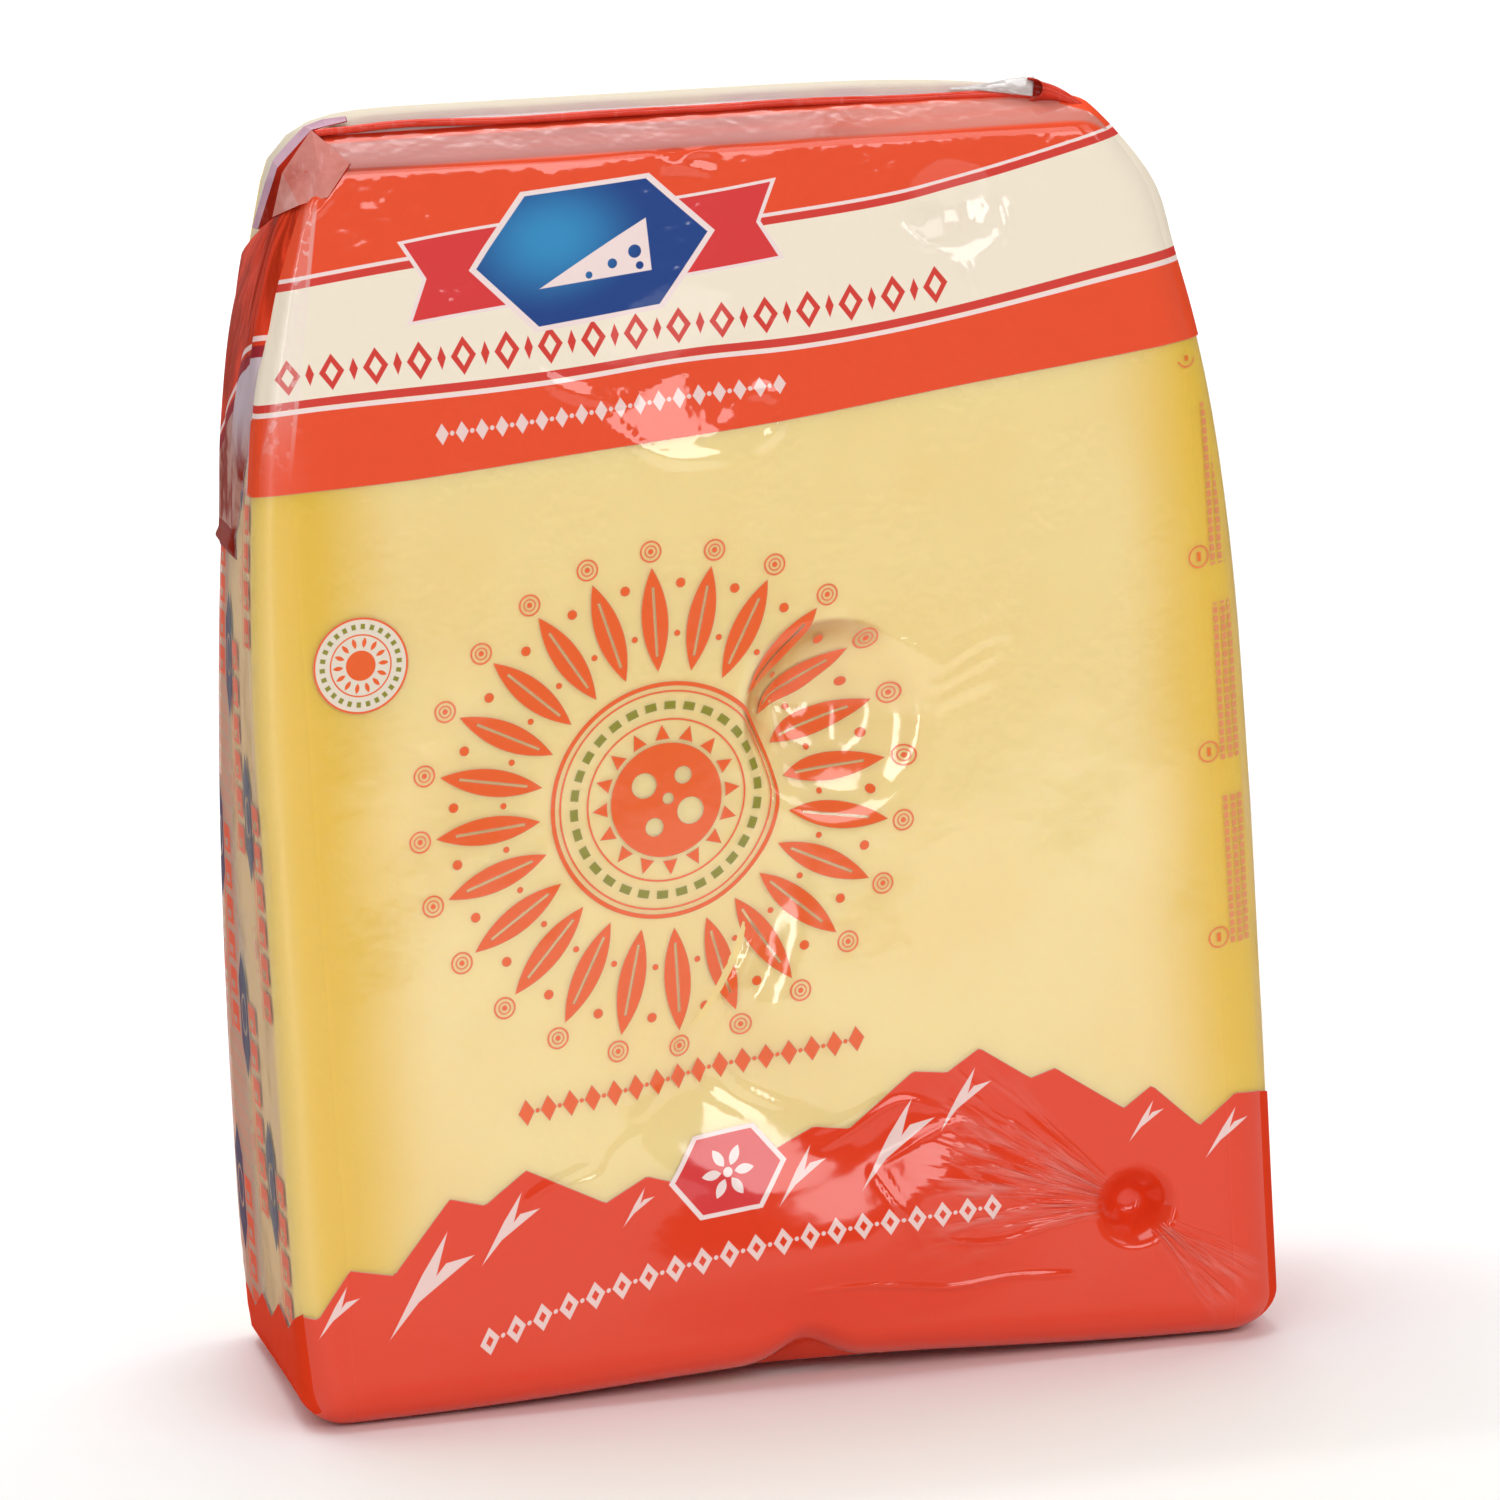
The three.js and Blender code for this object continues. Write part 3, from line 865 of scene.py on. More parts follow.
def middle_material():
    film = Film("film_middle")
    # a sunburst of leaves about a wheel of cheese
    sun = film.sheet.at(-24, 142)
    spokes, between = sun.spokes(24), sun.spokes(24, math.pi / 24)
    vein = film.high(abs(spokes.v) - 0.3, abs(spokes.u - 41) - 8)
    end = spokes.at(57.2, 0)
    film.ink(
        ORANGE, film.high(spokes.leaf(29.5, 53.5, 3.1), -vein), end.ring(2.3, 0.4), end.ring(1.3, 0.3),
        end.disc(0.6), between.at(49.5, 0).disc(1.1), between.at(38.0, 0).disc(0.7), sun.ring(26.5, 1.0),
        sun.ring(24.8, 0.45), sun.ring(18.4, 0.45),
    )
    film.ink(OLIVE, sun.spokes(30).at(21.6, 0).box(0.9, 1.3))
    holes = film.low(
        sun.at(-5, 4).disc(2.9), sun.at(4.2, 5).disc(2.0), sun.at(5.4, -3.4).disc(3.1),
        sun.at(-3.2, -5.8).disc(2.1), sun.at(0.4, 0.2).disc(1.3),
    )
    rays = sun.spokes(16).polygon((13.9, -1.7), (17.3, 0), (13.9, 1.7))
    film.ink(ORANGE, film.high(sun.disc(13.0), -holes), rays)
    # a round seal at the left, and a row of marks below the sunburst
    seal = film.sheet.at(-92, 184)
    film.ink(HAZE, seal.disc(10.8), strength=0.9)
    petals = seal.spokes(14).leaf(4.0, 6.4, 0.5)
    film.ink(ORANGE, seal.ring(10.6, 0.5), seal.ring(6.9, 0.35), seal.disc(3.4), petals)
    film.ink(OLIVE, seal.spokes(26).at(8.8, 0).box(0.6, 0.5))
    film.lozenges(film.sheet.at(-61, 77, 0.02).row(16, 5.2), ORANGE, 1.9, 3.0, dots=2.6)
    # lines of marks up the right edge, with a ringed dot at the foot of each
    cell_v = (film.v - 81) % 45.6
    block = film.high(abs(cell_v - 18.5) - 18.5, 80 - film.v)
    for column in (108.8, 110.9, 112.8):
        line = Print(film, (film.v * 0.93 + column) % 1.9 - 0.95, film.u - column)
        film.ink(SEAL_ORANGE, film.high(line.box(0.68, 0.6), block), strength=0.85)
    badge = Print(film, film.u - 105.2, cell_v - 2.6)
    film.ink(SEAL_ORANGE, badge.ring(2.4, 0.4), badge.box(0.5, 1.1))
    return film.close(ripple=0.15, blur=0.1)


# Heights of the hill line along the front: u, v
HILLS = (
    (-122, 44), (-112, 41), (-104, 50), (-94, 47), (-80, 61), (-72, 58), (-62, 64), (-44, 53), (-34, 57),
    (-20, 51), (-8, 55), (6, 60), (14, 58), (30, 68), (38, 66), (46, 70), (58, 60), (64, 61), (80, 47),
    (87, 51), (98, 38), (107, 44), (122, 40),
)
# Pale shards below the tops: two shapes with their corners counter-clockwise, then u, v and scale of each top
SHARDS = (((-24, -35), (-6, -18), (-1, -4), (-9, -16)), ((-12, -23), (4, -14), (-3, -14.5)))
TOPS = (
    (-104, 50, 0.45), (-79, 61, 0.95), (-62, 64, 0.65), (-34, 57, 0.35), (6, 60, 0.55), (31, 68, 0.85),
    (46, 70, 0.6), (88, 50, 0.4), (108, 44, 0.5),
)


def lay_hills(film):
    """A red field with a jagged top line, which the sides of the block continue in mirror image."""
    low, high = HILLS[0][0], HILLS[-1][0]
    mirrored = film.math("PINGPONG", film.u - low, high - low) + low
    stops = [((along - low) / (high - low), height / 100) for along, height in HILLS]
    line = film.node("ValToRGB", {"stops": stops}, {0: (mirrored - low) / (high - low)}).outputs[0]
    film.lay(LOW_RED, film.fill(film.v - Value(film, line) * 100, 0.3))


def low_material():
    film = Film("film_low")
    lay_hills(film)
    film.ink(PALE, *[
        film.sheet.polygon(*[(u + scale * du, v + scale * dv) for du, dv in shard])
        for u, v, scale in TOPS for shard in SHARDS
    ])
    arc = Print(film, film.u + 73, film.v - 36 + (film.u + 5) * (film.u + 5) * 0.0017)
    film.lozenges(arc.row(20, 6.3), PALE, 2.3, 3.1, hollow=0.4, dots=3.15)
    shield = film.sheet.at(-15, 54)
    film.ink(WHITE, shield.hexagon(14.0, 9.4))
    film.ink(RIBBON_RED, shield.hexagon(12.6, 8.4))
    film.ink(WHITE, shield.spokes(6).leaf(1.6, 6.2, 1.1), shield.disc(1.1))
    # fine creases that spread from the small eye, with pale painted highlights along them
    dx, dz = film.x - 81.5, film.z - 35
    radius, angle = film.length(dx, dz), film.math("ARCTAN2", dz, -dx)
    fan = film.node("CombineXYZ", None, {0: angle * 10, 1: radius * 0.04}).outputs[0]
    upper = film.ramp(angle, -0.25, 0.0) * (1 - film.ramp(angle, 0.6, 0.95)) * (1 - film.ramp(radius, 38, 60))
    away = math.pi - abs(angle)
    lower = (1 - film.ramp(abs(away - 0.75), 0.15, 0.35)) * (1 - film.ramp(dz, -2, 2))
    lower = lower * (1 - film.ramp(radius, 26, 38))
    fine = film.ramp(film.noise(1.0, 2.0, 0.6, vector=fan), 0.4, 0.72) * film.ramp(radius, 7, 11)
    fine = fine * film.high(upper, lower)
    film.colour = film.over(film.colour, PALE, fine * 0.22)
    return film.close(ripple=0.12, gloss=0.55, blur=0.11, creases=fine * 0.55)


def side_material():
    """The sides: marks that repeat up them under a milky film, between the red fields."""
    film = Film("film_side")
    depth = abs(film.u) - SIDE_START
    film.lay(HAZE, film.ramp(film.noise(0.03, 3.0), 0.45, 0.8) * 0.2)
    film.lay(paint("#B4521F"), film.ramp(depth + film.noise(0.03, 2.0) * 16, 62, 86) * 0.5)
    lines = film.high(abs(depth % 2.6 - 1.3) - 0.7, abs(film.v % 4.2 - 2.1) - 1.7)
    film.lay(LOW_RED, film.fill(lines) * film.ramp(depth, 66, 68) * 0.45)
    for k in range(3):
        up = (film.v + 44.0 * (k % 2) + 6 * k) % 84.0 - 42.0
        column = Print(film, depth - film.fill(-film.u) * 9 - (14 + 34 * k), up)
        bars, _ = Print(film, up, column.u).row(99, 8.4)
        tall = abs(up - 4) - 25
        blocks = film.high(bars.box(3.2, 6.5), -bars.at(-1.2, 1.5).box(1.0, 3.0))
        film.ink(RED, film.high(film.low(blocks, abs(column.u - 9.5) - 0.7), tall), strength=0.85)
        ring = column.at(16, -6)
        film.ink(RED, ring.ring(5.0, 0.6), ring.disc(2.4), strength=0.6)
        badge = Print(film, up - 24, column.u - 16)
        film.ink(NAVY, film.high(badge.hexagon(15, 7.5), -badge.ring(4.5, 1.0)), strength=0.85)
    film.ink(LOW_RED, film.v - 39 + depth * 0.12 - abs(depth % 34.0 - 17.0) * 0.25)
    lay_bands(film, front=False)
    bare = film.ramp(film.v, 222, 226) * film.ramp(depth, 13.5, 14.0)
    border = 1 - film.ramp(depth, 16.0, 18.5)
    film.colour = film.over(film.colour, LILAC, bare)
    film.clear = film.clear * (1 - bare) + bare * (1 - border * 0.5 - 0.04)
    film.facets()
    return film.close(ripple=0.5, sheen=0.02, gloss=0.0, coat=0.03)


def cheese_material(rind=False):
    """Yellow paste, riper towards the rind; with the rind too where the wheel's outside shows."""
    finish = Finish("rind" if rind else "paste")
    x, y, z = finish.split(finish.place)
    colour = finish.over(CHEESE, paint("#F3D284"), finish.ramp(finish.noise(0.02, 3.0), 0.35, 0.75) * 0.4)
    left_edge = finish.ramp(-x, 78, 104) * (1 - finish.ramp(-x, 108, 115) * 0.35)
    colour = finish.over(colour, RIPE, finish.high(left_edge, finish.ramp(x, 84, 108)) * 0.88)
    # the upper left wall of the large eye is in its own shade
    dx, dz = (x - BOWL["x"]) / BOWL["across"], (z - BOWL["z"]) / BOWL["up"]
    radius = finish.length(dx, dz)
    wall = finish.ramp(radius, 0.5, 0.95) * (1 - finish.ramp(radius, 0.97, 1.04))
    wall = wall * finish.ramp(-y, 0, 8) * finish.ramp(dz * 0.8 - dx * 0.6, 0.15, 0.85)
    colour = finish.over(colour, paint("#B5772F"), wall * 0.75)
    if rind:
        from_front = y + 58.0 - z * (FRONT_LEAN / SHOULDER_HEIGHT)
        from_back = 58.0 - z * (BACK_LEAN / SHOULDER_HEIGHT) - y
        blotches = finish.noise(0.045, 4.0, 0.65)
        skin = finish.over(RIND, RIND_DARK, finish.ramp(blotches, 0.48, 0.72) * 0.6)
        skin = finish.over(skin, RIM, finish.ramp(z, 262, 285))
        ragged = finish.noise(0.08, 3.0) * 4
        share = finish.ramp(from_front + ragged, 4.0, 16.0) * finish.ramp(from_back + ragged, 5.0, 10.0)
        colour = finish.over(colour, skin, share)
    return finish.show(finish.shader("Principled", {
        "Base Color": colour, "Roughness": 0.5, "Subsurface Weight": 0.3,
        "Subsurface Radius": (0.010, 0.007, 0.003), "Subsurface Scale": 1.0,
        "Normal": finish.bump(finish.noise(0.6, 2.0), 0.08), "Specular IOR Level": 0.0,
    }))


def gathered_material(name, tint, shade, highlight_streaks, coat=0.5):
    """Red film where it is folded or rolled: darker in places, with pale streaks that are painted highlights.
    """
    finish = Finish(name)
    colour = finish.over(tint, shade, finish.ramp(finish.noise(0.09, 3.0), 0.4, 0.65))
    streaks = finish.noise(1.0, 3.0, 0.6, stretch=(0.35, 0.12, 0.05))
    # pale streaks of painted highlight, scaled by the last argument
    colour = finish.over(colour, paint("#D9A09C"), finish.ramp(streaks, 0.55, 0.72) * highlight_streaks)
    bump = finish.bump(finish.noise(0.3, 3.0), 0.5)
    return finish.show(finish.shader("Principled", {
        "Base Color": colour, "Roughness": 0.35, "Specular IOR Level": 0.0, "Normal": bump,
        "Coat Weight": coat, "Coat Roughness": 0.1,
    }))


FAN_CENTRE = (5.0, 284.0)    # where the flap's creases meet: distance from the block's front, height


def flap_material():
    """The flap: dark red film creased from its top, with painted shade and painted highlights along the
    creases, and the cream band's wedge under the creases in painted shade.
    """
    film = Film("film_flap")
    depth = film.y + (DEPTH / 2 + MIDDLE[1]) - film.z * (FRONT_LEAN / SHOULDER_HEIGHT)
    across, down = depth - FAN_CENTRE[0], FAN_CENTRE[1] - film.z
    angle = film.math("ARCTAN2", across, down)
    fan = film.node("CombineXYZ", None, {0: angle * 9, 1: film.length(across, down) * 0.02}).outputs[0]
    creases = film.noise(1.0, 4.0, 0.6, vector=fan)
    under = film.z - 251 + depth * 0.1 + depth * depth * 0.0024
    # painted shade darkens the red along the creases, and pale painted highlights lie on their ridges
    film.colour = film.over(paint("#DE4228"), paint("#AC2E16"), film.ramp(creases, 0.4, 0.62))
    film.lay(paint("#D79A94"), film.ramp(creases, 0.66, 0.74) * 0.35)
    # below the line: the red and the cream band in darker tones of painted shade
    lower = film.over(paint("#8E3026"), paint("#B9877A"), film.ramp(film.noise(0.1, 3.0), 0.4, 0.6))
    below_line = film.fill(under + 4)
    film.lay(lower, below_line)
    film.lay(paint("#C3B0B8"), below_line * film.ramp(film.z, 218, 236) * film.ramp(-depth, -75, -40))
    film.ink(paint("#962B33"), abs(under + 2.9) - 1.3)
    film.ink(WHITE, abs(under) - 0.6, strength=0.8)
    film.ink(paint("#8A1D10"), film.z - 205, strength=0.9)
    bump = film.bump(creases, 0.6)
    return film.show(film.shader("Principled", {
        "Base Color": film.colour, "Roughness": 0.4, "Specular IOR Level": 0.0, "Normal": bump,
        "Coat Weight": 0.05, "Coat Roughness": 0.12,
    }))


def web_material():
    """Bare film that stands clear of the cheese: greyish and half clear."""
    finish = Finish("film_web")
    through = finish.shader("Transparent", {"Color": (1, 1, 1, 1)})
    grey = finish.shader("Principled", {
        "Base Color": paint("#CFC8C4"), "Roughness": 0.25, "Coat Weight": 1.0, "Coat Roughness": 0.05,
    })
    streaks = finish.ramp(finish.noise(0.25, 3.0, 0.6, stretch=(0.4, 1.0, 1.0)), 0.3, 0.7) * 0.4 + 0.45
    return finish.show(finish.node("MixShader", None, {0: streaks, 1: through, 2: grey}).outputs[0])


# ---- Settings ----
def length(name, description, default):
    return FloatProperty(name=name, description=description, default=default, unit="LENGTH")


class WedgeForm(bpy.types.PropertyGroup):
    """Fineness of the block and sizes of the film's parts."""

    columns: IntProperty(name="Columns", description="Columns of faces across the front", default=236, min=20)
    rows: IntProperty(name="Rows", description="Rows of faces up the front", default=316, min=20)
    film_gap: length("Film Gap", "Space between the cheese and the film", 0.5 * MM)
    seam_radius: length("Seam Radius", "Radius of the rolled seam", 0.9 * MM)
    flap_lift: length("Flap Lift", "How far the folded flap stands off the side", 1.0 * MM)


class WedgeStudio(bpy.types.PropertyGroup):
    """Camera and lights."""

    floor: FloatVectorProperty(
        name="Floor", description="Colour of floor and backdrop", subtype="COLOR", default=(0.97, 0.97, 0.97)
    )
    distance: length("Distance", "From the camera to the block", 1.3)
    lens: FloatProperty(name="Lens", description="Focal length in millimetres", default=130.0)
    world: FloatProperty(name="World", description="Strength of the light from all round", default=0.17)


FINE_LEVELS = (-1.0, -0.985, -0.965, -0.94, -0.9, -0.85, -0.79)
COARSE_LEVELS = tuple(np.round(mix(-0.72, 1.0, np.sin(np.linspace(0, math.pi / 2, 26))), 6).tolist())


def dress(piece, *finishes):
    for finish in finishes:
        piece.data.materials.append(finish)
    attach(piece, BODY)


class CHEESE_OT_block(bpy.types.Operator):
    """Makes the cheese inside the film"""

    bl_idname = "cheese.block"
    bl_label = "Cheese"

    def execute(self, context):
        form = context.scene.wedge_form
        skin = box_skin(even_line(110), (even_line(140) + 1) / 2, FINE_LEVELS, (34, 44), COARSE_LEVELS)
        block, sides, _ = skin_object("cheese", skin, inset=form.film_gap / MM)
        dress(block, cheese_material(), cheese_material(rind=True))
        outside = (sides == LEFT) | (sides == RIGHT) | (sides == TOP)
        block.data.polygons.foreach_set("material_index", outside.astype(np.int32))
        block.data.update()
        return {"FINISHED"}


# Zones of the film, in the order of its materials
LOW_ZONE, MIDDLE_ZONE, BANDS_ZONE, RIM_ZONE, SIDE_ZONE, BACK_ZONE = range(6)
MIDDLE_FROM = 71.5       # heights of the print where one zone gives way to the next
BANDS_FROM = 220.0
RIM_FROM = 285.5         # height of the block above which its front bends back


class CHEESE_OT_film(bpy.types.Operator):
    """Makes the printed film over the whole block"""

    bl_idname = "cheese.film"
    bl_label = "Film"

    def execute(self, context):
        form = context.scene.wedge_form
        columns = folded_line(form.columns, 0.05, 0.92, 0.6)
        rows = (folded_line(form.rows, -0.92, -0.5, 1.2) + 1) / 2
        skin = box_skin(columns, rows, FINE_LEVELS, (40, 50), COARSE_LEVELS)
        film, sides, heights = skin_object("film", skin, folds=FOLDS)
        dress(
            film, low_material(), middle_material(), bands_material(), rim_material(), side_material(),
            Film("film_clear").close(sheen=0.4),
        )
        centres = np.zeros(3 * len(sides))
        film.data.polygons.foreach_get("center", centres)
        at_rim = (sides == TOP) | ((sides == FRONT) & (centres[2::3] > RIM_FROM * MM))
        zone = np.select([
            (sides == LEFT) | (sides == RIGHT), sides == BACK, at_rim,
            (sides == BASE) | (heights < MIDDLE_FROM), heights < BANDS_FROM,
        ], [SIDE_ZONE, BACK_ZONE, RIM_ZONE, LOW_ZONE, MIDDLE_ZONE], BANDS_ZONE)
        film.data.polygons.foreach_set("material_index", zone.astype(np.int32))
        film.data.update()
        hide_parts(NODE)
        return {"FINISHED"}


def tube_tree(material):
    """Nodes that sweep a round profile along the edges of a mesh, as thick as its points say."""
    tree = bpy.data.node_groups.new("rolled_tube", "GeometryNodeTree")
    tree.interface.new_socket("Geometry", in_out="INPUT", socket_type="NodeSocketGeometry")
    radius = tree.interface.new_socket("Radius", in_out="INPUT", socket_type="NodeSocketFloat")
    tree.interface.new_socket("Geometry", in_out="OUTPUT", socket_type="NodeSocketGeometry")
    source, result = tree.nodes.new("NodeGroupInput"), tree.nodes.new("NodeGroupOutput")
    kinds = (
        "MeshToCurve", "SetCurveRadius", "CurveToMesh", "SetShadeSmooth", "RealizeInstances", "SetMaterial",
    )
    steps = [tree.nodes.new("GeometryNode" + kind) for kind in kinds]
    thickness = tree.nodes.new("GeometryNodeInputNamedAttribute")
    thickness.data_type = "FLOAT"
    thickness.inputs["Name"].default_value = "thickness"
    profile = tree.nodes.new("GeometryNodeCurvePrimitiveCircle")
    profile.inputs["Resolution"].default_value = 14
    steps[2].inputs["Fill Caps"].default_value = True
    steps[-1].inputs["Material"].default_value = material
    tree.links.new(thickness.outputs["Attribute"], steps[1].inputs["Radius"])
    tree.links.new(source.outputs["Radius"], profile.inputs["Radius"])
    tree.links.new(profile.outputs["Curve"], steps[2].inputs["Profile Curve"])
    before = source.outputs["Geometry"]
    for step in steps:
        tree.links.new(before, step.inputs[0])
        before = step.outputs[0]
    tree.links.new(before, result.inputs[0])
    return tree, radius.identifier


SEAM = (
    (-93, -41.2, 295.2), (-86, -40.4, 295.9), (-73, -40.2, 296.3), (-50, -40.6, 296.0), (-27, -40.8, 295.9),
    (-4, -40.5, 296.1), (19, -40.7, 296.0), (43, -41.0, 295.7), (64, -41.8, 295.3), (73.5, -43.0, 294.8),
)


class CHEESE_OT_seam(bpy.types.Operator):
    """Makes the rolled seam along the rim"""

    bl_idname = "cheese.seam"
    bl_label = "Seam"

    def execute(self, context):
        form = context.scene.wedge_form
        line = soft_curve(SEAM, 14)
        t = np.arange(len(line))
        line[:, 1] += 0.15 * np.sin(t * 0.5) + 0.12 * np.sin(t * 1.3)
        line[:, 2] += 0.15 * np.sin(t * 0.23 + 1)
        thick = smooth(t, -6, 14) * (1 + 0.15 * np.sin(t * 0.9) + 0.2 * np.sin(t * 0.17))
        path = bpy.data.meshes.new("seam_path")
        path.from_pydata((line * MM).tolist(), [(k, k + 1) for k in range(len(line) - 1)], [])
        path.attributes.new("thickness", "FLOAT", "POINT").data.foreach_set("value", thick.astype(np.float32))
        guide = link("seam_guide", path)
        finish = gathered_material("film_roll", paint("#E0432F"), paint("#D63A26"), 0.15)
        tree, radius = tube_tree(finish)
        modifier = guide.modifiers.new("tube", "NODES")
        modifier.node_group = tree
        modifier[radius] = form.seam_radius
        made = guide.evaluated_get(context.evaluated_depsgraph_get())
        mesh = bpy.data.meshes.new_from_object(made)
        bpy.data.objects.remove(guide)
        dress(link("seam", mesh))
        return {"FINISHED"}


class CHEESE_OT_ear(bpy.types.Operator):
    """Makes the rolled ear at the seam's right end and the film that it stretches"""

    bl_idname = "cheese.ear"
    bl_label = "Ear"

    def execute(self, context):
        spine = soft_curve(((73.0, -44.0, 296.1), (79.0, -44.8, 294.5), (85.8, -46.0, 290.6)), 7)
        along = np.gradient(spine, axis=0)
        along /= np.linalg.norm(along, axis=1, keepdims=True)
        up = np.array([0, 0, 1.0]) - along * along[:, 2:]
        up /= np.linalg.norm(up, axis=1, keepdims=True)
        across = np.cross(along, up)
        turns = np.linspace(0, 2 * math.pi, 40)
        share = np.linspace(0, 1, len(spine))[:, None]
        radius = mix(2.5, 0.5, share ** 0.9) * (1 + 0.07 * np.sin(3 * turns + 4 * share))
        lip = 2.6 * (1 - share) ** 3 * np.clip(np.cos(turns), -0.4, 1)
        outer = spine[:, None] + (radius * np.cos(turns))[:, :, None] * across[:, None]
        outer += (radius * np.sin(turns) * 1.1)[:, :, None] * up[:, None] + lip[:, :, None] * along[:, None]
        inner = spine[:, None] + (outer - spine[:, None]) * [1, 0.84, 0.84]
        finish = gathered_material("film_ear", paint("#D43A26"), paint("#A8200F"), 0.2)
        dress(sheet_object("ear", outer, inner), finish)

        s, t = np.meshgrid(np.linspace(0, 1, 40), np.linspace(0, 1, 16), indexing="ij")
        low = np.stack([mix(55, 73.0, s), mix(-40.6, -45.5, s), mix(297.0, 294.4, s ** 1.3)], 2)
        high = np.stack([mix(55, 74.5, s), mix(-39.2, -42.4, s), 297.4 + 1.5 * smooth(s, 0.1, 0.9)], 2)
        front = mix(low, high, t[:, :, None])
        puff = np.sin(math.pi * t) * np.sin(math.pi * s) ** 0.5
        front[:, :, 1] -= puff * (0.9 + 0.25 * np.sin(s * 19 + t * 4))
        dress(sheet_object("web", front[:, ::-1], front[:, ::-1] + [0, 0.3, 0]), web_material())
        return {"FINISHED"}


def outward(points):
    """Unit normals of a grid of points on the left side, facing out."""
    du, dv = np.gradient(points, axis=0), np.gradient(points, axis=1)
    normal = np.cross(du, dv)
    normal /= np.linalg.norm(normal, axis=2, keepdims=True)
    return normal * np.sign(-normal[:, :, :1])


# The film at the top left corner, pulled straight from the front to the seam: its points, and its
# faces counter-clockwise with the number of their finish
CORNER = (
    (-86.7, -52.0, 288.4), (-92.2, -52.3, 281.2), (-98.6, -50.6, 279.8), (-93.6, -41.0, 296.3),
    (-101.6, -38.8, 288.2), (-103.8, -41.8, 277.3), (-106.8, -38.0, 274.8), (-85.3, -39.2, 297.8),
    (-90.1, -40.6, 297.0), (-85.1, -36.2, 298.9), (-90.3, -35.5, 298.5), (-94.4, -34.5, 297.2),
    (-98.1, -33.5, 293.8), (-101.8, -33.0, 290.0), (-103.9, -33.0, 285.1), (-107.6, -33.5, 275.2),
    (-100.7, -40.2, 287.1), (-93.3, -49.4, 286.9), (-93.2, -52.6, 283.4), (-90.2, -52.6, 285.9),
)
CORNER_FACES = (
    ((17, 0, 3), 0), ((17, 3, 16), 0), ((17, 16, 2), 0), ((17, 2, 18), 0), ((2, 1, 18), 0),
    ((18, 1, 19), 0), ((1, 0, 19), 0), ((17, 18, 19), 0), ((17, 19, 0), 0),
    ((16, 5, 2), 1), ((3, 4, 16), 2), ((4, 6, 5, 16), 2), ((7, 9, 10, 8), 3), ((8, 10, 11, 3), 3),
    ((3, 11, 12), 3), ((3, 12, 4), 3), ((4, 12, 13), 3), ((4, 13, 14), 3), ((4, 14, 15, 6), 3),
)
CORNER_INWARD = (0.25, 0.3, -0.2)    # from the film's outer face to its inner one
# Name, tint, shade, and the strength of the pale streaks of painted highlight
CORNER_LOOKS = (
    # the gems' pale pinks on the red film are a painted reflection
    ("film_gem", paint("#D2857B"), paint("#BC645A"), 0.6),
    ("film_gem_pale", paint("#DCA199"), paint("#C98178"), 0.6),
    ("film_fold", paint("#B02A18"), paint("#8E1F10"), 0.1),
    ("film_border", paint("#CBA3B4"), paint("#B98FA2"), 0.5),
)
CORNER_RIM_LOOK = 2


class CHEESE_OT_corner(bpy.types.Operator):
    """Makes the film that bridges the top left corner"""

    bl_idname = "cheese.corner"
    bl_label = "Corner"

    def execute(self, context):
        faces = [face for face, _ in CORNER_FACES]
        count = len(CORNER)
        edges = {(a, b) for face in faces for a, b in zip(face, face[1:] + face[:1])}
        rim = [(b, a, a + count, b + count) for a, b in edges if (b, a) not in edges]
        under = [tuple(k + count for k in face[::-1]) for face in faces]
        points = np.concatenate([np.array(CORNER), np.array(CORNER) + CORNER_INWARD]) * MM
        mesh = bpy.data.meshes.new("corner")
        mesh.from_pydata(points.tolist(), [], faces + under + rim)
        finishes = [finish for _, finish in CORNER_FACES]
        mesh.polygons.foreach_set("material_index", finishes + finishes + [CORNER_RIM_LOOK] * len(rim))
        looks = [gathered_material(*look, coat=0.15) for look in CORNER_LOOKS]
        dress(link("corner", mesh), *looks)
        return {"FINISHED"}


FLAP_TOP = 281.0
# The flap's front edge: height, and distance from the block's front
FLAP_EDGE = (
    (198, 46), (204, 50), (207, 42), (221, 27), (233, 12), (244.6, 4), (248, 3), (253, 2), (261, 1.5),
    (272, 0), (281, 0),
)


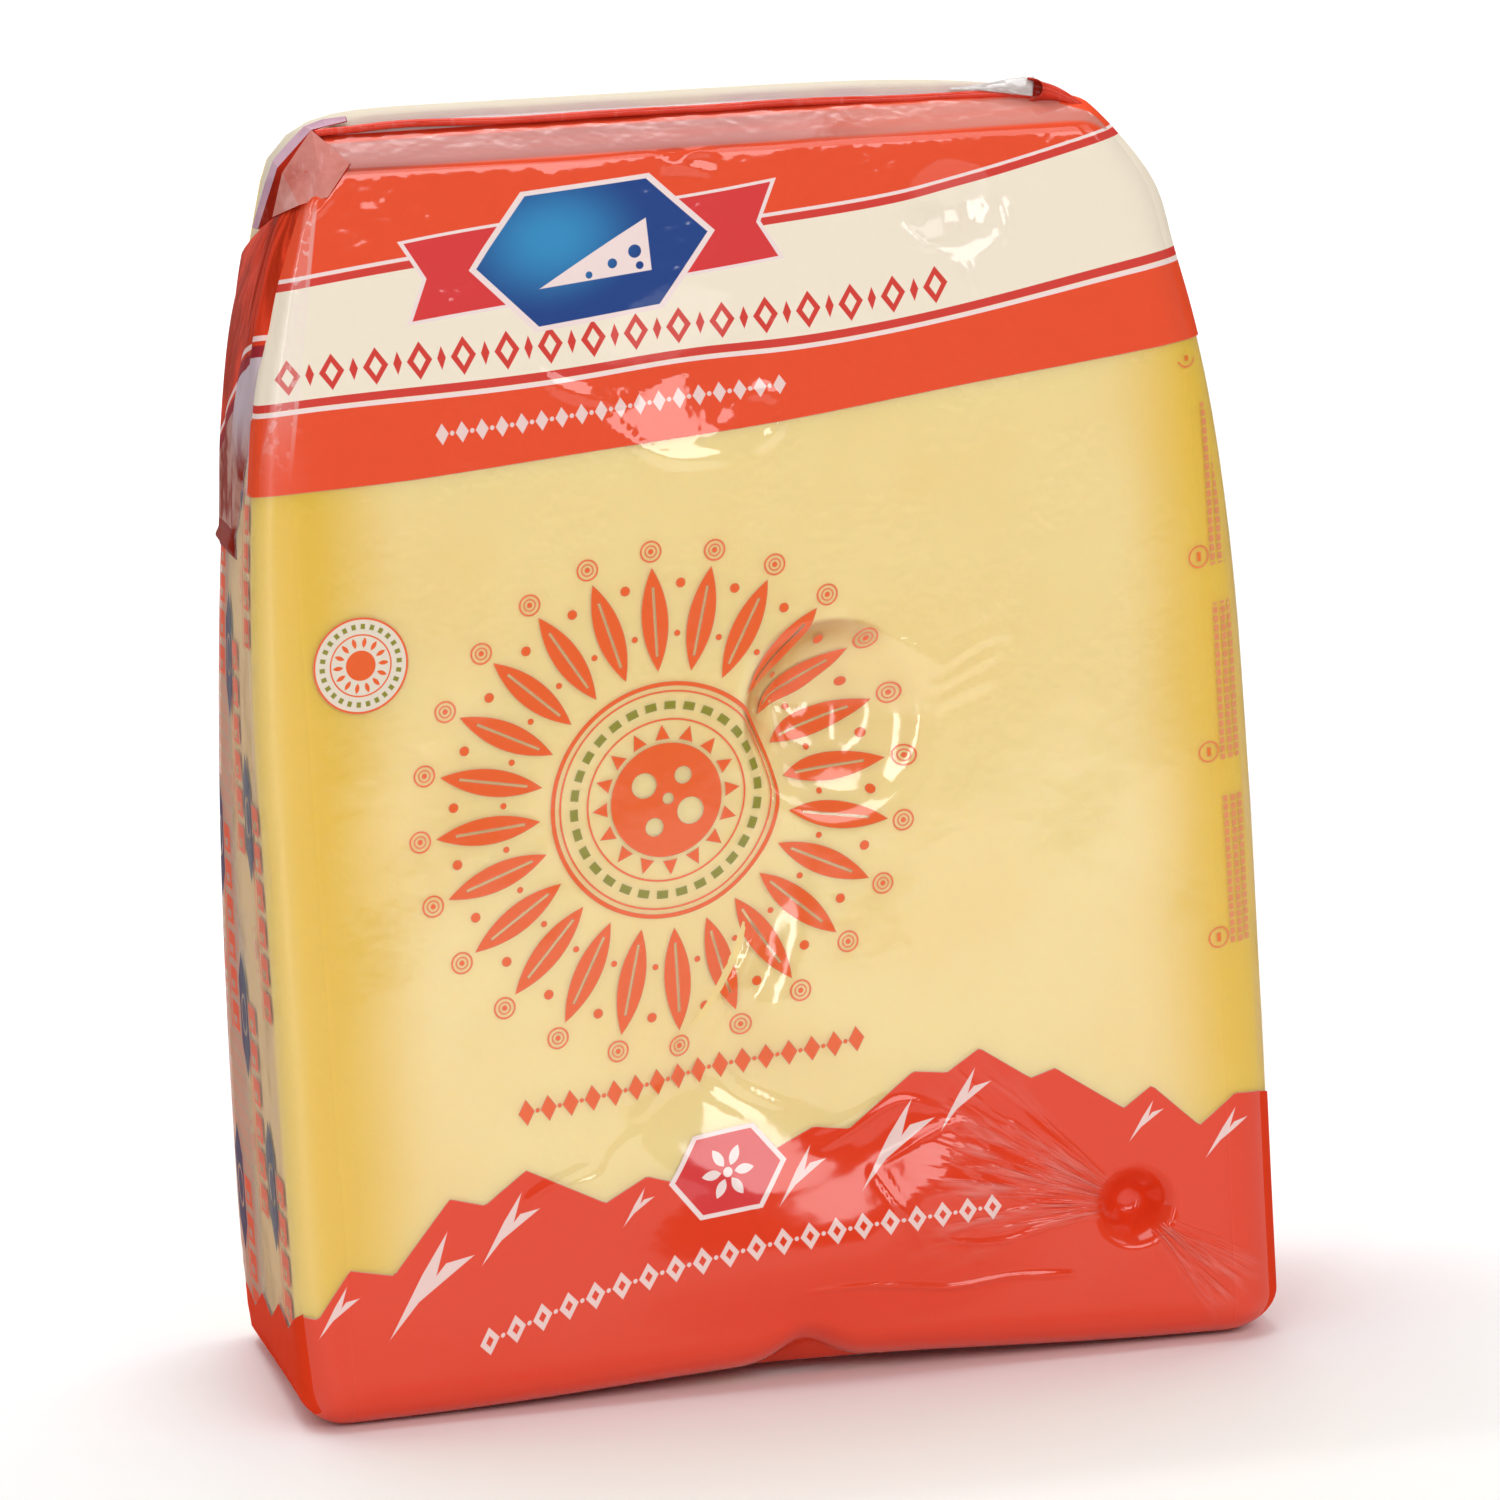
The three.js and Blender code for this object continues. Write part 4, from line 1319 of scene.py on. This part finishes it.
class CHEESE_OT_flap(bpy.types.Operator):
    """Makes the folded flap on the left side"""

    bl_idname = "cheese.flap"
    bl_label = "Flap"

    def execute(self, context):
        form = context.scene.wedge_form
        s, t = np.meshgrid(np.linspace(0, 1, 90) ** 1.3, np.linspace(0, 1, 120), indexing="ij")
        z = mix(FLAP_TOP, FLAP_EDGE[0][0], t)
        near = np.interp(z, *zip(*FLAP_EDGE))
        depth = mix(near, 0.985 * (back_at(z) - front_at(z)), s)
        z = z - 0.14 * depth * (1 - t)
        Y = 2 * depth / (back_at(z) - front_at(z)) - 1
        box = np.stack([np.full(s.shape, -1.0), Y, z / SHOULDER_HEIGHT], 2)
        base = film_place(box.reshape(-1, 3)).reshape(box.shape)
        normal = outward(base)
        closing = np.clip(np.minimum(np.minimum(s * 30, (1 - s) * 15), np.minimum(t, 1 - t) * 30), 0, 1)
        across, down = depth - FAN_CENTRE[0], FAN_CENTRE[1] - z
        angle, radius = np.arctan2(across, down), np.hypot(across, down)
        folds = 1.0 * np.abs(np.sin(angle * 5 + 1 + radius / 60)) * smooth(radius, 3, 35)
        folds += 0.45 * np.abs(np.sin(angle * 14 + 2 * np.sin(radius / 15))) * smooth(radius, 2, 20)
        hem = smooth(t, 0.93, 0.96) * (1 - smooth(t, 0.965, 0.985))
        folds = folds * (1 - 0.7 * smooth(t, 0.6, 0.95)) + 0.7 * hem
        height = (form.flap_lift / MM * 0.5 + folds) * np.sqrt(closing)
        outer = base + normal * (height[:, :, None] - 0.15)
        inner = base - normal * 0.45
        dress(sheet_object("flap", outer, inner), flap_material())
        return {"FINISHED"}


# ---- Stage ----
TARGET = Vector((7.0, 1.0, 142.5)) * MM
AZIMUTH, ELEVATION, ROLL = (math.radians(angle) for angle in (11.0, 7.0, 3.3))
# Name, place, what it is aimed at, width and height in metres, and watts
LIGHTS = (
    ("key", (0.28, -1.33, 0.74), (0, 0, 0.15), (0.75, 0.62), 6.6),
    ("overhead", (-0.1, 0.0, 1.3), (0, 0, 0.2), (1.0, 0.7), 7),
    ("left", (-0.54, -1.17, 0.4), (0, 0, 0.15), (0.14, 0.8), 2.3),
    ("far_left", (-0.93, -0.9, 0.4), (0, 0, 0.15), (0.14, 0.8), 0.5),
    ("right", (1.1, -1.0, 1.1), (0, 0, 0.15), (0.6, 0.6), 2.4),
    ("backdrop", (0, 0.6, 1.9), (0, 2.3, 0.8), (3.0, 0.6), 58),
)


def area_light(name, place, aim, size, power):
    lamp = bpy.data.lights.new(name, "AREA")
    lamp.shape = "RECTANGLE"
    lamp.size, lamp.size_y = size
    lamp.energy = power
    item = link(name, lamp)
    item.location = place
    item.rotation_euler = (Vector(aim) - Vector(place)).to_track_quat("-Z", "Y").to_euler()


class CHEESE_OT_stage(bpy.types.Operator):
    """Makes the floor, the lights and the camera"""

    bl_idname = "cheese.stage"
    bl_label = "Stage"

    def execute(self, context):
        scene, studio = context.scene, context.scene.wedge_studio
        scene.view_settings.view_transform = "Standard"
        world = bpy.data.worlds.new("studio")
        world.use_nodes = True
        background = world.node_tree.nodes["Background"]
        background.inputs["Color"].default_value = (1, 1, 1, 1)
        background.inputs["Strength"].default_value = studio.world
        scene.world = world

        finish = Finish("floor")
        shade = finish.over(tuple(studio.floor) + (1.0,), (0.95, 0.95, 0.95, 1.0), finish.noise(0.04))
        floor_finish = finish.show(finish.shader("Principled", {"Base Color": shade, "Roughness": 0.7}))
        turns = np.linspace(0.0, math.pi / 2, 16)
        bend = [(1.5 + math.sin(turn), 1.0 - math.cos(turn)) for turn in turns]
        profile = [(-3.0, 0.0)] + bend + [(2.5, 3.0)]
        points = [(side, y, z) for y, z in profile for side in (-3.0, 3.0)]
        faces = [(2 * k, 2 * k + 1, 2 * k + 3, 2 * k + 2) for k in range(len(profile) - 1)]
        mesh = bpy.data.meshes.new("floor")
        mesh.from_pydata(points, [], faces)
        mesh.polygons.foreach_set("use_smooth", [True] * len(faces))
        mesh.materials.append(floor_finish)
        link("floor", mesh)

        for light in LIGHTS:
            area_light(*light)

        camera = bpy.data.cameras.new("camera")
        camera.lens = studio.lens
        camera.sensor_width = 36.0
        camera.clip_end = 50.0
        item = link("camera", camera)
        level = math.cos(ELEVATION)
        away = Vector((-math.sin(AZIMUTH) * level, -math.cos(AZIMUTH) * level, math.sin(ELEVATION)))
        turn = away.to_track_quat("Z", "Y").to_matrix() @ Matrix.Rotation(-ROLL, 3, "Z")
        item.matrix_world = Matrix.Translation(TARGET + away * studio.distance) @ turn.to_4x4()
        scene.camera = item
        return {"FINISHED"}


class CHEESE_PT_panel(bpy.types.Panel):
    """Lists what builds the wedge"""

    bl_idname = "CHEESE_PT_panel"
    bl_label = "Cheese Wedge in Film"
    bl_space_type = "VIEW_3D"
    bl_region_type = "UI"
    bl_category = "Cheese"

    def draw(self, context):
        for group in (context.scene.wedge_form, context.scene.wedge_studio):
            for key in group.__annotations__:
                self.layout.prop(group, key)
        for step in STEPS:
            self.layout.operator(step.bl_idname)


STEPS = (
    CHEESE_OT_stage, CHEESE_OT_block, CHEESE_OT_film, CHEESE_OT_seam, CHEESE_OT_ear, CHEESE_OT_corner,
    CHEESE_OT_flap,
)
CLASSES = (WedgeForm, WedgeStudio) + STEPS + (CHEESE_PT_panel,)


def register():
    for item in CLASSES:
        bpy.utils.register_class(item)
    bpy.types.Scene.wedge_form = PointerProperty(type=WedgeForm)
    bpy.types.Scene.wedge_studio = PointerProperty(type=WedgeStudio)


def unregister():
    del bpy.types.Scene.wedge_studio
    del bpy.types.Scene.wedge_form
    for item in reversed(CLASSES):
        bpy.utils.unregister_class(item)


def main():
    register()
    bpy.ops.cheese.stage()
    bpy.ops.cheese.block()
    bpy.ops.cheese.film()
    bpy.ops.cheese.seam()
    bpy.ops.cheese.ear()
    bpy.ops.cheese.corner()
    bpy.ops.cheese.flap()


if __name__ == "__main__":
    main()
